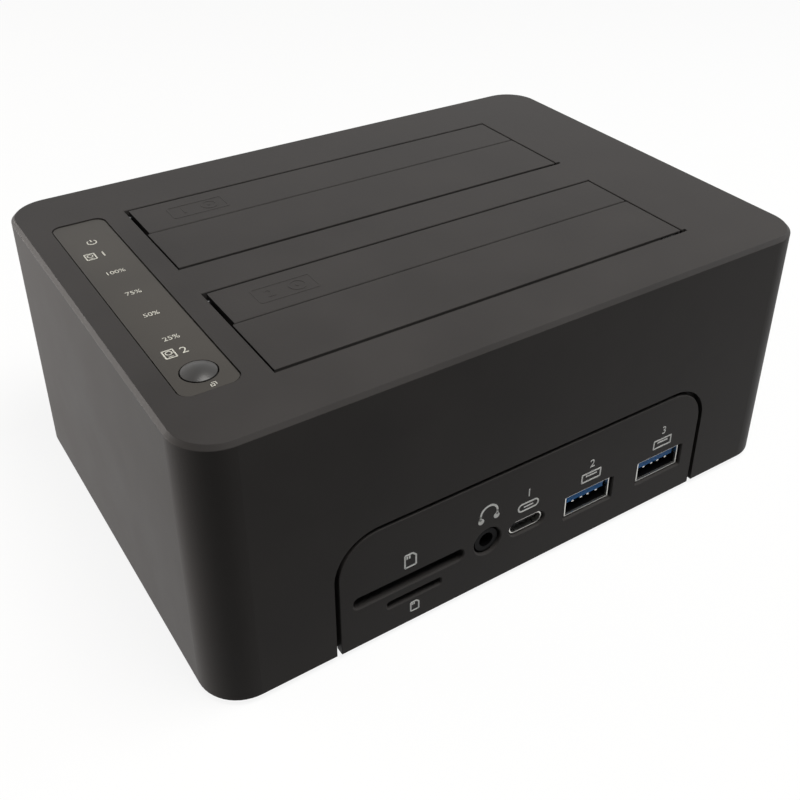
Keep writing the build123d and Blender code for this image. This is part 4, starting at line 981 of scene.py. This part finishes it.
class DUPLICATOR_OT_stage(bpy.types.Operator):
    """Set the floor, the soft lights and the camera"""

    bl_idname = "duplicator.stage"
    bl_label = "Stage"

    # Sizes and places in metres
    floor_size = 8.0
    lamp_aim = (0, 0, 0.03)
    near_clip = 0.01

    # Share of the floor's look that is plain white; the rest takes the shadow
    floor_glow = 0.88

    # Width of the camera's sensor in millimetres
    sensor = 36.0

    # Place and size of each lamp in metres, and its tint
    lamps = {
        "key_light": ((-0.55, 0.45, 0.08), (0.6, 0.12), "#fffaf6"),
        "main_light": ((0.1, -0.22, 0.82), (0.4, 0.4), "#fffdfa"),
        "side_light": ((0.65, -0.2, 0.45), (0.3, 0.3), "#f0f8ff"),
    }

    def execute(self, context):
        stage = context.scene.duplicator_stage
        self.floor(stage)
        self.room(context.scene, stage)
        powers = (stage.key_power, stage.main_power, stage.side_power)
        for (name, (place, size, tint)), power in zip(self.lamps.items(), powers):
            self.lamp(name, place, size, power, tint)
        self.camera(context.scene, stage)
        context.scene.view_settings.view_transform = "Standard"
        return {"FINISHED"}

    def seen(self, tree):
        """1 for rays that show the background itself: from the camera, or by way of gloss or glass."""
        path = add_node(tree, "ShaderNodeLightPath")
        both = add_node(
            tree, "ShaderNodeMath", settings={"operation": "MAXIMUM"},
            links={0: path.outputs["Is Camera Ray"], 1: path.outputs["Is Glossy Ray"]}
        )
        every = add_node(
            tree, "ShaderNodeMath", settings={"operation": "MAXIMUM"},
            links={0: both.outputs["Value"], 1: path.outputs["Is Transmission Ray"]}
        )
        return every.outputs["Value"]

    def floor(self, stage):
        """White paper where it is seen, and a dimmer sheet for the light that it throws back."""
        start_piece()
        bpy.ops.mesh.primitive_plane_add(size=self.floor_size, location=(0, 0, 0))
        floor = bpy.context.object
        floor.name = "floor"
        material, tree = new_material("paper_sweep_white")
        paper = add_node(tree, "ShaderNodeBsdfDiffuse", values={"Color": stage.floor})
        glow = add_node(tree, "ShaderNodeEmission", values={"Color": (1, 1, 1, 1), "Strength": 1.0})
        shown = add_node(
            tree, "ShaderNodeMixShader", values={"Fac": self.floor_glow},
            links={1: paper.outputs["BSDF"], 2: glow.outputs["Emission"]}
        )
        dim = add_node(tree, "ShaderNodeBsdfDiffuse", values={"Color": stage.bounce})
        mixed = add_node(
            tree, "ShaderNodeMixShader",
            links={"Fac": self.seen(tree), 1: dim.outputs["BSDF"], 2: shown.outputs["Shader"]}
        )
        add_node(tree, "ShaderNodeOutputMaterial", links={"Surface": mixed.outputs["Shader"]})
        floor.data.materials.append(material)

    def room(self, scene, stage):
        """A room that looks white and hardly lights the duplicator."""
        world = bpy.data.worlds.new("white_room")
        scene.world = world
        world.use_nodes = True
        tree = world.node_tree
        tree.nodes.clear()
        white = (1, 1, 1, 1)
        light = add_node(tree, "ShaderNodeBackground", values={"Color": white, "Strength": stage.ambient})
        shown = add_node(tree, "ShaderNodeBackground", values={"Color": white, "Strength": 1.0})
        mixed = add_node(
            tree, "ShaderNodeMixShader",
            links={"Fac": self.seen(tree), 1: light.outputs["Background"], 2: shown.outputs["Background"]}
        )
        add_node(tree, "ShaderNodeOutputWorld", links={"Surface": mixed.outputs["Shader"]})

    def lamp(self, name, place, size, power, hex_colour):
        """A rectangular soft light that faces the duplicator."""
        data = bpy.data.lights.new(name, "AREA")
        data.shape = "RECTANGLE"
        data.size, data.size_y = size
        data.energy = power
        data.color = linear(hex_colour)[:3]
        lamp = bpy.data.objects.new(name, data)
        bpy.context.scene.collection.objects.link(lamp)
        lamp.location = place
        ray = Vector(self.lamp_aim) - Vector(place)
        lamp.rotation_euler = ray.to_track_quat("-Z", "Y").to_euler()

    def camera(self, scene, stage):
        """The picture's point of view."""
        data = bpy.data.cameras.new("photo_camera")
        data.sensor_width = self.sensor
        data.lens = stage.lens
        data.shift_x = stage.shift_x
        data.shift_y = stage.shift_y
        data.clip_start = self.near_clip
        camera = bpy.data.objects.new("photo_camera", data)
        scene.collection.objects.link(camera)
        turn, lift, roll = stage.azimuth, stage.elevation, stage.roll
        back = Vector((math.sin(turn) * math.cos(lift), -math.cos(turn) * math.cos(lift), math.sin(lift)))
        right = Vector((math.cos(turn), math.sin(turn), 0))
        up = back.cross(right)
        right, up = (
            right * math.cos(roll) + up * math.sin(roll),
            up * math.cos(roll) - right * math.sin(roll),
        )
        pose = Matrix((right, up, back)).transposed().to_4x4()
        camera.matrix_world = Matrix.Translation(stage.eye) @ pose
        scene.camera = camera


class DUPLICATOR_PT_panel(bpy.types.Panel):
    """Lists the steps that dress the duplicator, and their settings"""

    bl_idname = "DUPLICATOR_PT_panel"
    bl_label = "Drive duplicator"
    bl_space_type = "VIEW_3D"
    bl_region_type = "UI"
    bl_category = "Duplicator"

    def draw(self, context):
        for step in STEPS:
            self.layout.operator(step.bl_idname)
        for group in GROUPS:
            box = self.layout.box()
            settings = getattr(context.scene, group)
            for name in settings.__annotations__:
                box.prop(settings, name)


GROUPS = {
    "duplicator_finish": DuplicatorFinish,
    "duplicator_marks": DuplicatorMarks,
    "duplicator_stage": DuplicatorStage,
}
STEPS = (
    DUPLICATOR_OT_finishes,
    DUPLICATOR_OT_strip_marks,
    DUPLICATOR_OT_port_marks,
    DUPLICATOR_OT_door_marks,
    DUPLICATOR_OT_door_springs,
    DUPLICATOR_OT_port_fittings,
    DUPLICATOR_OT_stage,
)


def register():
    for item in (*GROUPS.values(), *STEPS, DUPLICATOR_PT_panel):
        bpy.utils.register_class(item)
    for name, group in GROUPS.items():
        setattr(bpy.types.Scene, name, PointerProperty(type=group))


def unregister():
    for name in GROUPS:
        delattr(bpy.types.Scene, name)
    for item in (DUPLICATOR_PT_panel, *reversed(STEPS), *GROUPS.values()):
        bpy.utils.unregister_class(item)


def main():
    register()
    bpy.ops.duplicator.finishes()
    bpy.ops.duplicator.strip_marks()
    bpy.ops.duplicator.port_marks()
    bpy.ops.duplicator.door_marks()
    bpy.ops.duplicator.door_springs()
    bpy.ops.duplicator.port_fittings()
    bpy.ops.duplicator.stage()


if __name__ == "__main__":
    main()
